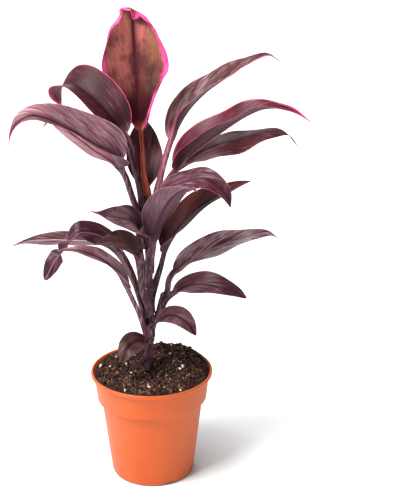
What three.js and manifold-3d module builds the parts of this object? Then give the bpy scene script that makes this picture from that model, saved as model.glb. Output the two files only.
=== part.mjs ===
// A ti plant with dark purple-bronze leaves and pink margins, in a round plastic nursery pot.
// Millimetres, +Z up. The origin is the middle of the pot's flat underside.

import * as THREE from 'three';
import { mergeVertices } from 'three/addons/utils/BufferGeometryUtils.js';
import Module from 'manifold-3d';

const wasm = await Module();
wasm.setup();

// Pot: a thin moulded wall, its tall collar stepping out below a flared lip
const POT_HEIGHT = 109;
const POT_WALL = 1.3;
const POT_SIDES = 64;
const LIP_RADIUS = 60;
const LIP_DROP = 3.6;
const LIP_THICKNESS = 2.2;
const LIP_BEVEL = 1;
const LIP_SPLAY = 0.4;
const LIP_RAMP = 0.6;
const COLLAR_TOP_RADIUS = 56.6;
const COLLAR_BOTTOM_RADIUS = 54;
const COLLAR_HEIGHT = 28;
const COLLAR_RAMP = 1.5;
const BODY_TOP_RADIUS = 50;
const BASE_RADIUS = 41;
const FOOT_ROUND = 4;
const FOOT_BEVEL = 1.2;
const FLOOR_THICKNESS = 2;

// Drain slots: cut through the floor and the foot of the wall
const DRAIN_COUNT = 3;
const DRAIN_FIRST_ANGLE = 296;
const DRAIN_INNER_RADIUS = 29;
const DRAIN_OUTER_RADIUS = 45;
const DRAIN_WIDTH = 8;
const DRAIN_HEIGHT = 3;

// Soil: a plug that fills the pot, lumpy on top and heaped towards the back
const SEAT_GAP = 0.3;
const SOIL_TOP = 107.5;
const SOIL_HEAP = { x: 24, y: 36, height: 6, spread: 32 };
const SOIL_DIP = { x: -34, y: -14, height: -1.5, spread: 16 };
const SOIL_LUMPS = [[5.3, 0.5, 4.1, 1.2, 0.9], [3.1, 2, -3.4, 0.3, 0.7], [-2.6, 1, 2.9, 4, 0.4]];
const SOIL_SHRINK = 0.5;
const SOIL_EDGE = 1.1;
const SOIL_RINGS = 11;
const SOIL_SIDES = 48;

// Cane and its side shoot: points on the axis, each with the radius there
const CANE = [
  [-2, 0, 75, 2.5],
  [-2, 0, 106, 2.7],
  [-1, 0, 134, 2.8],
  [0, 0, 158, 3.2],
  [-1, 0, 186, 3.4],
  [-1, 0, 214, 3.3],
  [-2, 0, 242, 3.1],
  [-3, 0, 268, 2.8],
  [-3, 0, 290, 2.2],
];
const SHOOT = [
  [0, 0, 142, 2.0],
  [4, 2, 160, 2.3],
  [8, 3, 174, 2.4],
  [12, 3, 190, 2.2],
];
const STEM_SIDES = 12;
const STEM_STEP = 4;
const SCAR_SPACING = 8;
const SCAR_HEIGHT = 0.2;

// Leaves: rows along each, strips across each, and the sizes that they share
const STALK_ROWS = 6;
const BLADE_ROWS = 13;
const STRIPS = 4;
const SHEATH_ANGLE = 42;
const SHEATH_RISE = 12;
const SHEATH_LEAN = 2.6;
const SHEATH_NARROWS = [0.1, 0.6];
const STALK_HALF_WIDTH = 2.9;
const STALK_CURL = 76;
const BLADE_OPENS = 0.16;
const EDGE_THICKNESS = 0.7;
const RIB_THICKNESS = 0.7;
const STALK_THICKNESS = 0.8;
const TIP_HALF_WIDTH = 0.5;
const RIPPLE_LAG = 0.9;
const PATH_STEPS = 400;
const FLAT_BEND = 1e-4;

// Each leaf: where its foot clasps the stem, the line of its midrib from there to the tip, the
// length of its stalk, and its blade's half width. full is how round the outline is at the foot
// and at the tip: less is rounder. roll turns the blade about its midrib, lifting the left margin,
// fold closes it like a book and curl bends each half, in degrees at even steps from foot to tip.
// wave is the ripple of the margins: how many, how high in millimetres, and where it starts.
const LEAVES = [
  {
    name: 'leaf_crown',
    colour: 'bronze',
    foot: { stem: CANE, z: 276, azimuth: 70 },
    midrib: [
      [-5, 13, 304], [-6, 18, 323], [-9, 24, 348], [-12, 31, 374],
      [-14, 37, 400], [-16, 43, 427], [-18, 47, 449], [-18, 45, 457],
    ],
    stalk: 72,
    halfWidth: 34,
    full: [0.75, 0.58],
    roll: [-32, -32, -32],
    fold: [35, 10, 15],
    curl: [25, 25, 60],
    wave: { count: 2, height: 1.5, phase: 0 },
  },
  {
    name: 'leaf_back',
    colour: 'purple',
    foot: { stem: CANE, z: 262, azimuth: 125 },
    midrib: [[-5, 14, 290], [-5, 23, 307], [-6, 33, 324], [-7, 44, 340], [-9, 54, 353]],
    stalk: 30,
    halfWidth: 18,
    full: [0.8, 1.1],
    roll: [0, 0, 0],
    fold: [20, 8, 10],
    curl: [20, 20, 10],
    wave: { count: 2, height: 1, phase: 1 },
  },
  {
    name: 'leaf_upper_left',
    colour: 'purple',
    foot: { stem: CANE, z: 268, azimuth: 215 },
    midrib: [
      [-9, -4, 294], [-14, -2, 319], [-19, 1, 341], [-26, 3, 353], [-35, 5, 365], [-45, 9, 375],
      [-55, 14, 383], [-64, 20, 388], [-73, 27, 389], [-81, 35, 385], [-85, 41, 377], [-84, 45, 365],
    ],
    stalk: 82,
    halfWidth: 24,
    full: [0.5, 0.72],
    roll: [-17, -22, -10],
    fold: [28, 28, 12],
    curl: [10, 8, 10],
    wave: { count: 2, height: 1.5, phase: 1 },
  },
  {
    name: 'leaf_left_long',
    colour: 'mauve',
    foot: { stem: CANE, z: 250, azimuth: 215 },
    midrib: [
      [-15, -13, 290], [-21, -20, 313], [-26, -27, 330], [-33, -32, 340],
      [-44, -38, 348], [-58, -45, 359], [-72, -51, 369], [-87, -57, 378],
      [-98, -60, 381], [-108, -62, 378], [-115, -64, 369], [-119, -66, 355],
    ],
    stalk: 84,
    halfWidth: 27,
    full: [0.36, 1.3],
    roll: [-26, -30, -10],
    fold: [30, 24, 10],
    curl: [5, 5, 0],
    wave: { count: 2, height: 1.5, phase: 1 },
  },
  {
    name: 'leaf_left_under',
    colour: 'purple',
    foot: { stem: CANE, z: 236, azimuth: 165 },
    midrib: [
      [-12, 3, 270], [-18, 5, 290], [-24, 8, 307], [-33, 12, 317], [-48, 18, 325],
      [-66, 26, 336], [-83, 34, 346], [-95, 40, 350], [-102, 44, 343],
    ],
    stalk: 78,
    halfWidth: 18,
    full: [0.6, 1.1],
    roll: [-5, -5, 0],
    fold: [15, 8, 10],
    curl: [15, 5, 5],
    wave: { count: 2, height: 1, phase: 1 },
  },
  {
    name: 'leaf_upper_right',
    colour: 'olive',
    foot: { stem: CANE, z: 254, azimuth: 40 },
    midrib: [
      [9, 10, 295], [15, 14, 319], [24, 18, 345], [35, 26, 363], [51, 36, 378],
      [72, 46, 391], [93, 56, 402], [112, 62, 409], [125, 68, 401],
    ],
    stalk: 88,
    halfWidth: 17,
    full: [0.4, 1],
    roll: [5, 0, 5],
    fold: [40, 30, 10],
    curl: [40, 0, 0],
    wave: { count: 3, height: 1.5, phase: 1 },
  },
  {
    name: 'leaf_right_long',
    colour: 'olive',
    foot: { stem: CANE, z: 240, azimuth: 350 },
    midrib: [
      [8, -2, 273], [13, -4, 289], [18, -6, 302], [24, -8, 315], [35, -10, 328], [47, -12, 339],
      [67, -16, 355], [89, -21, 371], [106, -26, 379], [127, -31, 379], [146, -34, 369],
    ],
    stalk: 82,
    halfWidth: 21,
    full: [0.36, 1.2],
    roll: [6, 4, 5],
    fold: [40, 38, 10],
    curl: [20, 0, 0],
    wave: { count: 3, height: 1.5, phase: 2 },
  },
  {
    name: 'leaf_right_back',
    colour: 'olive',
    foot: { stem: CANE, z: 222, azimuth: 70 },
    midrib: [
      [5, 12, 262], [11, 17, 284], [18, 22, 297], [28, 28, 308], [46, 36, 319],
      [68, 46, 326], [91, 58, 330], [114, 68, 333], [132, 76, 329], [146, 82, 312],
    ],
    stalk: 94,
    halfWidth: 19,
    full: [0.5, 1.1],
    roll: [15, 15, 5],
    fold: [10, -12, -5],
    curl: [10, 0, 0],
    wave: { count: 3, height: 1.5, phase: 4 },
  },
  {
    name: 'leaf_right_drooping',
    colour: 'mauve',
    foot: { stem: CANE, z: 226, azimuth: 330 },
    midrib: [
      [6, -12, 258], [9, -17, 278], [13, -23, 294], [20, -28, 305], [33, -34, 313],
      [49, -40, 318], [61, -45, 315], [70, -49, 307], [75, -51, 294],
    ],
    stalk: 72,
    halfWidth: 18,
    full: [0.5, 0.9],
    roll: [20, 20, 10],
    fold: [20, -5, 5],
    curl: [10, 5, 10],
    wave: { count: 2, height: 1.5, phase: 1 },
  },
  {
    name: 'leaf_front',
    colour: 'mauve',
    foot: { stem: CANE, z: 212, azimuth: 290 },
    midrib: [
      [2, -18, 238], [6, -29, 258], [10, -41, 277], [15, -50, 292],
      [22, -58, 305], [31, -67, 315], [39, -74, 319], [45, -78, 318],
    ],
    stalk: 48,
    halfWidth: 17,
    full: [0.5, 0.8],
    roll: [-12, -26, -10],
    fold: [35, 22, 10],
    curl: [20, 10, 10],
    wave: { count: 2, height: 1, phase: 1 },
  },
  {
    name: 'leaf_right_dark',
    colour: 'purple',
    foot: { stem: CANE, z: 168, azimuth: 80 },
    midrib: [
      [6, 7, 200], [10, 5, 214], [15, 3, 234], [26, 1, 254],
      [40, -4, 273], [59, -8, 288], [77, -12, 299], [94, -16, 308],
    ],
    stalk: 66,
    halfWidth: 24,
    full: [0.45, 0.9],
    roll: [20, 20, 10],
    fold: [20, 8, 10],
    curl: [15, 10, 10],
    wave: { count: 2, height: 1.5, phase: 1 },
  },
  {
    name: 'leaf_left_pink_tip',
    colour: 'purple',
    foot: { stem: CANE, z: 198, azimuth: 240 },
    midrib: [
      [-8, -11, 226], [-9, -15, 243], [-10, -22, 259], [-14, -31, 273], [-22, -41, 280],
      [-32, -52, 286], [-41, -63, 292], [-49, -72, 298],
    ],
    stalk: 64,
    halfWidth: 18,
    full: [0.22, 1.3],
    roll: [-40, -45, -30],
    fold: [20, 0, 10],
    curl: [10, 5, 5],
    wave: { count: 2, height: 1, phase: 1 },
  },
  {
    name: 'leaf_low_left_front',
    colour: 'mauve',
    foot: { stem: CANE, z: 138, azimuth: 195 },
    midrib: [
      [-12, -8, 174], [-17, -11, 188], [-23, -15, 204], [-30, -20, 220], [-40, -26, 232],
      [-51, -32, 241], [-66, -37, 248], [-83, -41, 249],
    ],
    stalk: 66,
    halfWidth: 12,
    full: [0.45, 0.9],
    roll: [-15, -25, -10],
    fold: [25, 15, 10],
    curl: [10, 5, 5],
    wave: { count: 2, height: 1, phase: 1 },
  },
  {
    name: 'leaf_low_left_arched',
    colour: 'purple',
    foot: { stem: CANE, z: 150, azimuth: 155 },
    midrib: [
      [-13, 3, 190], [-20, 6, 212], [-30, 8, 230], [-42, 7, 243], [-54, 3, 250],
      [-66, -4, 253], [-75, -9, 247], [-82, -12, 238], [-91, -15, 226], [-99, -17, 210],
    ],
    stalk: 90,
    halfWidth: 12,
    full: [0.4, 0.6],
    roll: [-40, -45, -45, -40, 0, 50, -30, -60, -60],
    fold: [10, 8, 10],
    curl: [10, 5, 5],
    wave: { count: 2, height: 1, phase: 1 },
  },
  {
    name: 'leaf_low_left_back',
    colour: 'purple',
    foot: { stem: CANE, z: 138, azimuth: 100 },
    midrib: [
      [-7, 12, 170], [-16, 18, 191], [-26, 24, 211], [-38, 28, 225], [-55, 32, 231],
      [-75, 36, 231], [-98, 40, 230], [-120, 42, 228], [-139, 43, 222],
    ],
    stalk: 96,
    halfWidth: 12,
    full: [0.5, 0.9],
    roll: [0, -20, -10],
    fold: [10, 8, 10],
    curl: [10, 5, 5],
    wave: { count: 2, height: 1, phase: 1 },
  },
  {
    name: 'leaf_low_left_near',
    colour: 'purple',
    foot: { stem: CANE, z: 166, azimuth: 255 },
    midrib: [
      [-7, -17, 197], [-9, -26, 220], [-11, -36, 241], [-17, -44, 255],
      [-25, -54, 263], [-35, -65, 267], [-46, -76, 268],
    ],
    stalk: 80,
    halfWidth: 17,
    full: [0.24, 1.2],
    roll: [-40, -45, -30],
    fold: [20, 5, 10],
    curl: [10, 5, 5],
    wave: { count: 2, height: 1, phase: 1 },
  },
  {
    name: 'leaf_low_right_long',
    colour: 'mauve',
    foot: { stem: SHOOT, z: 177, azimuth: 30 },
    midrib: [
      [18, 5, 201], [22, 6, 208], [30, 8, 214], [46, 12, 223],
      [64, 17, 231], [83, 22, 236], [103, 26, 241], [115, 28, 241], [123, 29, 236],
    ],
    stalk: 36,
    halfWidth: 16,
    full: [0.5, 0.9],
    roll: [20, 20, 10],
    fold: [30, 18, 5],
    curl: [20, 0, 0],
    wave: { count: 2, height: 1.5, phase: 1 },
  },
  {
    name: 'leaf_low_right_short',
    colour: 'purple',
    foot: { stem: SHOOT, z: 164, azimuth: 310 },
    midrib: [
      [17, -11, 189], [25, -16, 198], [36, -20, 206], [51, -28, 211],
      [66, -35, 211], [80, -40, 208], [91, -44, 203],
    ],
    stalk: 40,
    halfWidth: 13,
    full: [0.6, 0.8],
    roll: [30, 30, 15],
    fold: [20, 8, 5],
    curl: [10, 5, 5],
    wave: { count: 2, height: 1, phase: 1 },
  },
  {
    name: 'leaf_small_right',
    colour: 'purple',
    foot: { stem: CANE, z: 146, azimuth: 282 },
    midrib: [[7, -15, 168], [17, -19, 175], [27, -25, 177], [36, -31, 172], [44, -35, 161]],
    stalk: 26,
    halfWidth: 11,
    full: [0.5, 0.8],
    roll: [30, 30, 20],
    fold: [10, 3, 5],
    curl: [10, 5, 5],
    wave: { count: 1, height: 1, phase: 1 },
  },
  {
    name: 'leaf_small_left',
    colour: 'mauve',
    foot: { stem: CANE, z: 121, azimuth: 245 },
    midrib: [[-6, -11, 144], [-16, -20, 147], [-22, -28, 143], [-27, -34, 132]],
    stalk: 22,
    halfWidth: 11,
    full: [0.6, 0.8],
    roll: [-25, -30, -20],
    fold: [10, 8, 10],
    curl: [10, 5, 5],
    wave: { count: 1, height: 1, phase: 1 },
  },
];

// Finishes, as the eye sees them in soft daylight
const FINISH = {
  terracotta: { color: '#e07a48', roughness: 0.5 },
  peat: { color: '#2e221c', roughness: 0.95 },
  cane: { color: '#3f2a30', roughness: 0.6 },
  bronze: { color: '#7d3f3a', roughness: 0.45 },
  purple: { color: '#4f3138', roughness: 0.45 },
  mauve: { color: '#74505c', roughness: 0.45 },
  olive: { color: '#5d3f40', roughness: 0.45 },
};

const radians = THREE.MathUtils.degToRad;

function finish(name) {
  return new THREE.MeshStandardMaterial({ ...FINISH[name], metalness: 0 });
}

// A geometry with its shared vertices merged, as a solid for cutting and joining
function toSolid(geometry) {
  const bare = geometry.clone();
  bare.deleteAttribute('normal');
  bare.deleteAttribute('uv');
  const merged = mergeVertices(bare, 1e-4);
  return new wasm.Manifold(new wasm.Mesh({
    numProp: 3,
    vertProperties: new Float32Array(merged.attributes.position.array),
    triVerts: new Uint32Array(merged.index.array),
  }));
}

function toGeometry(solid) {
  const mesh = solid.getMesh();
  return indexedGeometry(mesh.vertProperties, mesh.triVerts);
}

function indexedGeometry(positions, triangles) {
  const geometry = new THREE.BufferGeometry();
  geometry.setAttribute('position', new THREE.BufferAttribute(new Float32Array(positions), 3));
  geometry.setIndex(new THREE.BufferAttribute(new Uint32Array(triangles), 1));
  geometry.computeVertexNormals();
  return geometry;
}

// Triangles of a closed tube: rows of points round it from the bottom up, each quad split alike,
// then a fan at each end to the two middle points that follow the rows
function tubeTriangles(rows, sides) {
  const triangles = [];
  const last = (rows - 1) * sides;
  const bottom = rows * sides;
  for (let side = 0; side < sides; side += 1) {
    const next = (side + 1) % sides;
    for (let start = 0; start < last; start += sides) {
      triangles.push(start + side, start + next, start + sides + side);
      triangles.push(start + next, start + sides + next, start + sides + side);
    }
    triangles.push(next, side, bottom);
    triangles.push(last + side, last + next, bottom + 1);
  }
  return triangles;
}

// Pot

const collarFoot = POT_HEIGHT - COLLAR_HEIGHT;
const lipFoot = POT_HEIGHT - LIP_DROP;

// Outside of the pot from its foot up, each corner as radius and height
const POT_OUTSIDE = [
  [0, 0],
  [BASE_RADIUS - FOOT_ROUND, 0],
  [BASE_RADIUS - FOOT_BEVEL, FOOT_BEVEL],
  [BASE_RADIUS, FOOT_ROUND],
  [BODY_TOP_RADIUS, collarFoot - COLLAR_RAMP],
  [COLLAR_BOTTOM_RADIUS, collarFoot],
  [COLLAR_TOP_RADIUS, lipFoot - LIP_RAMP],
  [LIP_RADIUS - LIP_SPLAY, lipFoot],
  [LIP_RADIUS, POT_HEIGHT - LIP_BEVEL],
  [LIP_RADIUS - LIP_BEVEL, POT_HEIGHT],
];

// Inside of the pot from its floor up
const POT_INSIDE = [
  [BASE_RADIUS - FOOT_ROUND, FLOOR_THICKNESS],
  [BASE_RADIUS - POT_WALL, FOOT_ROUND + POT_WALL],
  [BODY_TOP_RADIUS - POT_WALL, collarFoot - COLLAR_RAMP + POT_WALL],
  [COLLAR_BOTTOM_RADIUS - POT_WALL, collarFoot + POT_WALL],
  [COLLAR_TOP_RADIUS - POT_WALL, lipFoot - LIP_RAMP],
  [LIP_RADIUS - LIP_THICKNESS, POT_HEIGHT],
];

function drainTool(angle) {
  const reach = DRAIN_OUTER_RADIUS - DRAIN_INNER_RADIUS;
  const slot = new THREE.BoxGeometry(reach, DRAIN_WIDTH, DRAIN_HEIGHT * 2);
  slot.translate(DRAIN_INNER_RADIUS + reach / 2, 0, 0);
  slot.rotateZ(radians(angle));
  return toSolid(slot);
}

function makePot() {
  const corners = [...POT_OUTSIDE, ...POT_INSIDE.toReversed(), [0, FLOOR_THICKNESS]];
  const profile = corners.map(([radius, z]) => new THREE.Vector2(radius, z));
  const body = new THREE.LatheGeometry(profile, POT_SIDES).rotateX(Math.PI / 2);
  let solid = toSolid(body);
  for (let i = 0; i < DRAIN_COUNT; i += 1) {
    solid = solid.subtract(drainTool(DRAIN_FIRST_ANGLE + i * 360 / DRAIN_COUNT));
  }
  return toGeometry(solid);
}

// Soil

function bump({ x, y, height, spread }, px, py) {
  const distance2 = (px - x) ** 2 + (py - y) ** 2;
  return height * Math.exp(-distance2 / (2 * spread ** 2));
}

// Height of the soil: a level, one heap, one dip, and small lumps from crossed waves
function soilHeight(x, y) {
  let z = SOIL_TOP + bump(SOIL_HEAP, x, y) + bump(SOIL_DIP, x, y);
  for (const [spanX, startX, spanY, startY, height] of SOIL_LUMPS) {
    z += height * Math.sin(x / spanX + startX) * Math.cos(y / spanY + startY);
  }
  return z;
}

// The plug's rings: up the pot's inner wall, then over the top from the rim to the middle
function soilRings() {
  const wall = POT_INSIDE.slice(0, 4);
  const rings = wall.map(([radius, z]) => ({ radius: radius - SOIL_SHRINK, heightAt: () => z + SEAT_GAP }));
  const rim = POT_INSIDE[4][0] - SOIL_EDGE;
  for (let i = SOIL_RINGS; i >= 1; i -= 1) {
    rings.push({ radius: rim * i / SOIL_RINGS, heightAt: soilHeight });
  }
  return rings;
}

function makeSoil() {
  const rings = soilRings();
  const positions = [];
  for (const { radius, heightAt } of rings) {
    for (let side = 0; side < SOIL_SIDES; side += 1) {
      const x = radius * Math.cos(2 * Math.PI * side / SOIL_SIDES);
      const y = radius * Math.sin(2 * Math.PI * side / SOIL_SIDES);
      positions.push(x, y, heightAt(x, y));
    }
  }
  positions.push(0, 0, rings[0].heightAt());
  positions.push(0, 0, soilHeight(0, 0));
  const plug = indexedGeometry(positions, tubeTriangles(rings.length, SOIL_SIDES));
  const hole = stemTube(CANE, SEAT_GAP + SCAR_HEIGHT, false);
  return toGeometry(toSolid(plug).subtract(toSolid(hole)));
}

// Stem

// Point and radius on a stem's axis at height z
function stemAt(axis, z) {
  const above = Math.max(1, axis.findIndex((point) => point[2] >= z));
  const low = axis[above - 1];
  const high = axis[above];
  const share = (z - low[2]) / (high[2] - low[2]);
  const mixed = low.map((value, i) => THREE.MathUtils.lerp(value, high[i], share));
  return { point: new THREE.Vector3(mixed[0], mixed[1], z), radius: mixed[3] };
}

// A round tube up a stem's axis, larger by extra, with a low leaf scar ring at every spacing
function stemTube(axis, extra, scars) {
  const bottom = axis[0][2] - extra;
  const top = axis[axis.length - 1][2];
  const rows = Math.round((top - bottom) / STEM_STEP) + 1;
  const positions = [];
  for (let row = 0; row < rows; row += 1) {
    const z = Math.min(top, THREE.MathUtils.lerp(bottom, top, row / (rows - 1)));
    const { point, radius } = stemAt(axis, z);
    const ridge = scars && row % (SCAR_SPACING / STEM_STEP) === 0 ? SCAR_HEIGHT : 0;
    const reach = radius + extra + ridge;
    for (let side = 0; side < STEM_SIDES; side += 1) {
      const angle = 2 * Math.PI * side / STEM_SIDES;
      positions.push(point.x + reach * Math.cos(angle), point.y + reach * Math.sin(angle), z);
    }
  }
  positions.push(...stemAt(axis, bottom).point, ...stemAt(axis, top).point);
  return indexedGeometry(positions, tubeTriangles(rows, STEM_SIDES));
}

function makeStem() {
  const cane = toSolid(stemTube(CANE, 0, true));
  const shoot = toSolid(stemTube(SHOOT, 0, true));
  return toGeometry(cane.add(shoot));
}

// Leaves

// The midrib: up the stem for the length of the sheath, then through the leaf's own points.
// foot is the heading at the stem, and turn is how far the blade's own heading swings from it.
function leafPath({ foot, midrib, stalk }) {
  const heading = radians(foot.azimuth);
  const outward = new THREE.Vector3(Math.cos(heading), Math.sin(heading), 0);
  const low = stemAt(foot.stem, foot.z);
  const high = stemAt(foot.stem, foot.z + SHEATH_RISE);
  const seat = low.radius + SCAR_HEIGHT + SEAT_GAP;
  const points = [
    low.point.addScaledVector(outward, seat),
    high.point.addScaledVector(outward, seat + SHEATH_LEAN),
    ...midrib.map((point) => new THREE.Vector3(...point)),
  ];
  const curve = new THREE.CatmullRomCurve3(points, false, 'centripetal');
  curve.arcLengthDivisions = PATH_STEPS;
  const length = curve.getLength();
  const bladeFoot = curve.getPointAt(stalk / length);
  const tip = points[points.length - 1];
  const away = Math.atan2(tip.y - bladeFoot.y, tip.x - bladeFoot.x) - heading;
  const turn = THREE.MathUtils.euclideanModulo(away + Math.PI, 2 * Math.PI) - Math.PI;
  return { curve, length, seat, foot: heading, turn };
}

// A value keyed at even steps from the blade's foot to its tip, eased between the keys
function keyed(keys, t) {
  const place = t * (keys.length - 1);
  const start = Math.min(Math.floor(place), keys.length - 2);
  const share = THREE.MathUtils.smoothstep(place - start, 0, 1);
  return THREE.MathUtils.lerp(keys[start], keys[start + 1], share);
}

// Half width of the blade at t: a power of the distance from each end, scaled to 1 at its widest
function outline([foot, tip], t) {
  const widest = foot / (foot + tip);
  return (t / widest) ** foot * ((1 - t) / (1 - widest)) ** tip;
}

// Where the rows lie: even up the stalk, and closer at both ends of the blade
function rowPlaces(stalk, length) {
  const places = [];
  for (let row = 0; row < STALK_ROWS; row += 1) {
    places.push({ along: stalk * row / STALK_ROWS, t: 0, up: row / STALK_ROWS });
  }
  for (let row = 0; row <= BLADE_ROWS; row += 1) {
    const even = row / BLADE_ROWS;
    const t = 0.5 * even + 0.25 * (1 - Math.cos(Math.PI * even));
    places.push({ along: stalk + (length - stalk) * t, t, up: 1 });
  }
  return places;
}

// The leaf's directions at one row: to its left, and out of its upper face
function leafFrame(path, leaf, { along, t, up }) {
  const tangent = path.curve.getTangentAt(along / path.length);
  const swing = THREE.MathUtils.smoothstep(up, 0, 1);
  const heading = path.foot + path.turn * swing;
  const left = new THREE.Vector3(-Math.sin(heading), Math.cos(heading), 0);
  left.addScaledVector(tangent, -left.dot(tangent)).normalize();
  left.applyAxisAngle(tangent, radians(keyed(leaf.roll, t)) * swing);
  return { left, face: new THREE.Vector3().crossVectors(tangent, left) };
}

// Cross-section of one row: half width, angle at the midrib and bend of each half
function leafSection(path, leaf, { t, up }) {
  const opening = THREE.MathUtils.smoothstep(t, 0, BLADE_OPENS);
  const narrowing = THREE.MathUtils.smoothstep(up, ...SHEATH_NARROWS);
  const footWidth = path.seat * radians(SHEATH_ANGLE);
  const stalkWidth = THREE.MathUtils.lerp(footWidth, STALK_HALF_WIDTH, narrowing);
  const stalkCurl = THREE.MathUtils.lerp(SHEATH_ANGLE, STALK_CURL, up);
  const blade = leaf.halfWidth * outline(leaf.full, t);
  return {
    half: Math.hypot(blade, stalkWidth * (1 - t)) + TIP_HALF_WIDTH * t,
    fold: radians(keyed(leaf.fold, t)) * opening,
    curl: radians(THREE.MathUtils.lerp(stalkCurl, keyed(leaf.curl, t), opening)),
    ripple: leaf.wave.height * Math.sin(Math.PI * t),
    rib: RIB_THICKNESS * (1 - t),
    core: STALK_THICKNESS * (1 - opening),
  };
}

// A point across a section and the face's normal there, both as left and up, and the thickness.
// u runs from 1 at the left margin to -1 at the right.
function acrossSection({ half, fold, curl, ripple, rib, core }, wave, t, u) {
  const reach = Math.abs(u);
  const side = Math.sign(u);
  const bend = Math.max(curl, FLAT_BEND);
  const angle = fold + bend * reach;
  const out = half / bend * (Math.sin(angle) - Math.sin(fold));
  const rise = half / bend * (Math.cos(fold) - Math.cos(angle));
  const turn = 2 * Math.PI * wave.count * t + wave.phase + side * RIPPLE_LAG;
  const lift = ripple * reach ** 2 * Math.sin(turn);
  const normal = side === 0 ? [0, 1 / Math.cos(fold)] : [-side * Math.sin(angle), Math.cos(angle)];
  return {
    spot: [side * out + lift * normal[0], rise + lift * normal[1]],
    normal,
    thickness: EDGE_THICKNESS + rib * (1 - reach) ** 2 + core * (1 - reach),
  };
}

// One closed solid: the upper face, the lower face a blade's thickness under it, and the edges
function makeLeaf(leaf) {
  const path = leafPath(leaf);
  const places = rowPlaces(leaf.stalk, path.length);
  const upper = [];
  const lower = [];
  for (const place of places) {
    const centre = path.curve.getPointAt(place.along / path.length);
    const { left, face } = leafFrame(path, leaf, place);
    const section = leafSection(path, leaf, place);
    for (let strip = 0; strip <= STRIPS; strip += 1) {
      const u = 1 - 2 * strip / STRIPS;
      const { spot, normal, thickness } = acrossSection(section, leaf.wave, place.t, u);
      const point = centre.clone().addScaledVector(left, spot[0]).addScaledVector(face, spot[1]);
      upper.push(...point);
      point.addScaledVector(left, -thickness * normal[0]).addScaledVector(face, -thickness * normal[1]);
      lower.push(...point);
    }
  }
  return indexedGeometry([...upper, ...lower], sheetTriangles(places.length, STRIPS + 1));
}

// Triangles of a closed sheet: two grids of rows * columns, split alike, joined round the edge
function sheetTriangles(rows, columns) {
  const triangles = [];
  const under = rows * columns;
  const quad = (a, b, c, d) => triangles.push(a, b, c, a, c, d);
  for (let row = 0; row + 1 < rows; row += 1) {
    for (let column = 0; column + 1 < columns; column += 1) {
      const a = row * columns + column;
      triangles.push(a, a + 1, a + columns + 1, a, a + columns + 1, a + columns);
      triangles.push(under + a, under + a + columns + 1, under + a + 1);
      triangles.push(under + a, under + a + columns, under + a + columns + 1);
    }
    const left = row * columns;
    const right = left + columns - 1;
    quad(left, left + columns, under + left + columns, under + left);
    quad(right, under + right, under + right + columns, right + columns);
  }
  for (let column = 0; column + 1 < columns; column += 1) {
    const tip = (rows - 1) * columns + column;
    quad(column, under + column, under + column + 1, column + 1);
    quad(tip, tip + 1, under + tip + 1, under + tip);
  }
  return triangles;
}

function addPiece(plant, name, geometry, finishName) {
  const piece = new THREE.Mesh(geometry, finish(finishName));
  piece.name = name;
  plant.add(piece);
}

const plant = new THREE.Group();
addPiece(plant, 'pot', makePot(), 'terracotta');
addPiece(plant, 'soil', makeSoil(), 'peat');
addPiece(plant, 'stem', makeStem(), 'cane');
for (const leaf of LEAVES) {
  addPiece(plant, leaf.name, makeLeaf(leaf), leaf.colour);
}

export default plant;
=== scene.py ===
import math
import bpy
import numpy as np
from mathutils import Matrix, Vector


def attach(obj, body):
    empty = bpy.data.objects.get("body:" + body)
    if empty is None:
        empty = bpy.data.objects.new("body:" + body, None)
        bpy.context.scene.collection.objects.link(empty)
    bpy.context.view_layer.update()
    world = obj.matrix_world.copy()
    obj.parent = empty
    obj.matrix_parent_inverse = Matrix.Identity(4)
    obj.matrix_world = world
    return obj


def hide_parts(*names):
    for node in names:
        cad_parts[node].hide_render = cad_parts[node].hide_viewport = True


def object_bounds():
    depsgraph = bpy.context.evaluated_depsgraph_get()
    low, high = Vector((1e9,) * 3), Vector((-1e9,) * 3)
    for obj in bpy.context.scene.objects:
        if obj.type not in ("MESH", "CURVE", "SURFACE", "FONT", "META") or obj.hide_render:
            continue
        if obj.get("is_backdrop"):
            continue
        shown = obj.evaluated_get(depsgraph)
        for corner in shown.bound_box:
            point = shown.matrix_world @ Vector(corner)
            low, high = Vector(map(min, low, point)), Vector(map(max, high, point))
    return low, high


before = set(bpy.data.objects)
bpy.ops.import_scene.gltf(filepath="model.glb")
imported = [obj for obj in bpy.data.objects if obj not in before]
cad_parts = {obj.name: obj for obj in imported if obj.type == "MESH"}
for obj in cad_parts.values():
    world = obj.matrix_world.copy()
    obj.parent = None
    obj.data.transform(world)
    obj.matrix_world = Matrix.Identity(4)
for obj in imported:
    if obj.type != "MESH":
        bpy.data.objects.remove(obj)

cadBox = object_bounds()
metre = 1000    # every size below is in millimetres


# sRGB hex to the linear colour that shaders and lights take
def linear(hexColour):
    parts = [int(hexColour[i:i + 2], 16) / 255 for i in (1, 3, 5)]
    return tuple(c / 12.92 if c <= 0.04045 else ((c + 0.055) / 1.055) ** 2.4 for c in parts) + (1,)


# Eased step from 0 at low to 1 at high: 3s^2 - 2s^3
def ease(value, low, high):
    s = np.clip((value - low) / (high - low), 0, 1)
    return s * s * (3 - 2 * s)


# Smooth noise from -1 to 1: random values on a square lattice of that spacing, eased between
def softNoise(x, y, spacing, seed):
    cells = 97    # the lattice repeats after as many, farther than any piece reaches
    lattice = np.random.default_rng(seed).uniform(-1, 1, (cells, cells))
    column, row = np.floor(x / spacing).astype(int), np.floor(y / spacing).astype(int)
    across, up = ease(x / spacing - column, 0, 1), ease(y / spacing - row, 0, 1)
    corner = lambda i, j: lattice[(column + i) % cells, (row + j) % cells]
    low = corner(0, 0) * (1 - across) + corner(1, 0) * across
    high = corner(0, 1) * (1 - across) + corner(1, 1) * across
    return low * (1 - up) + high * up


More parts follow.
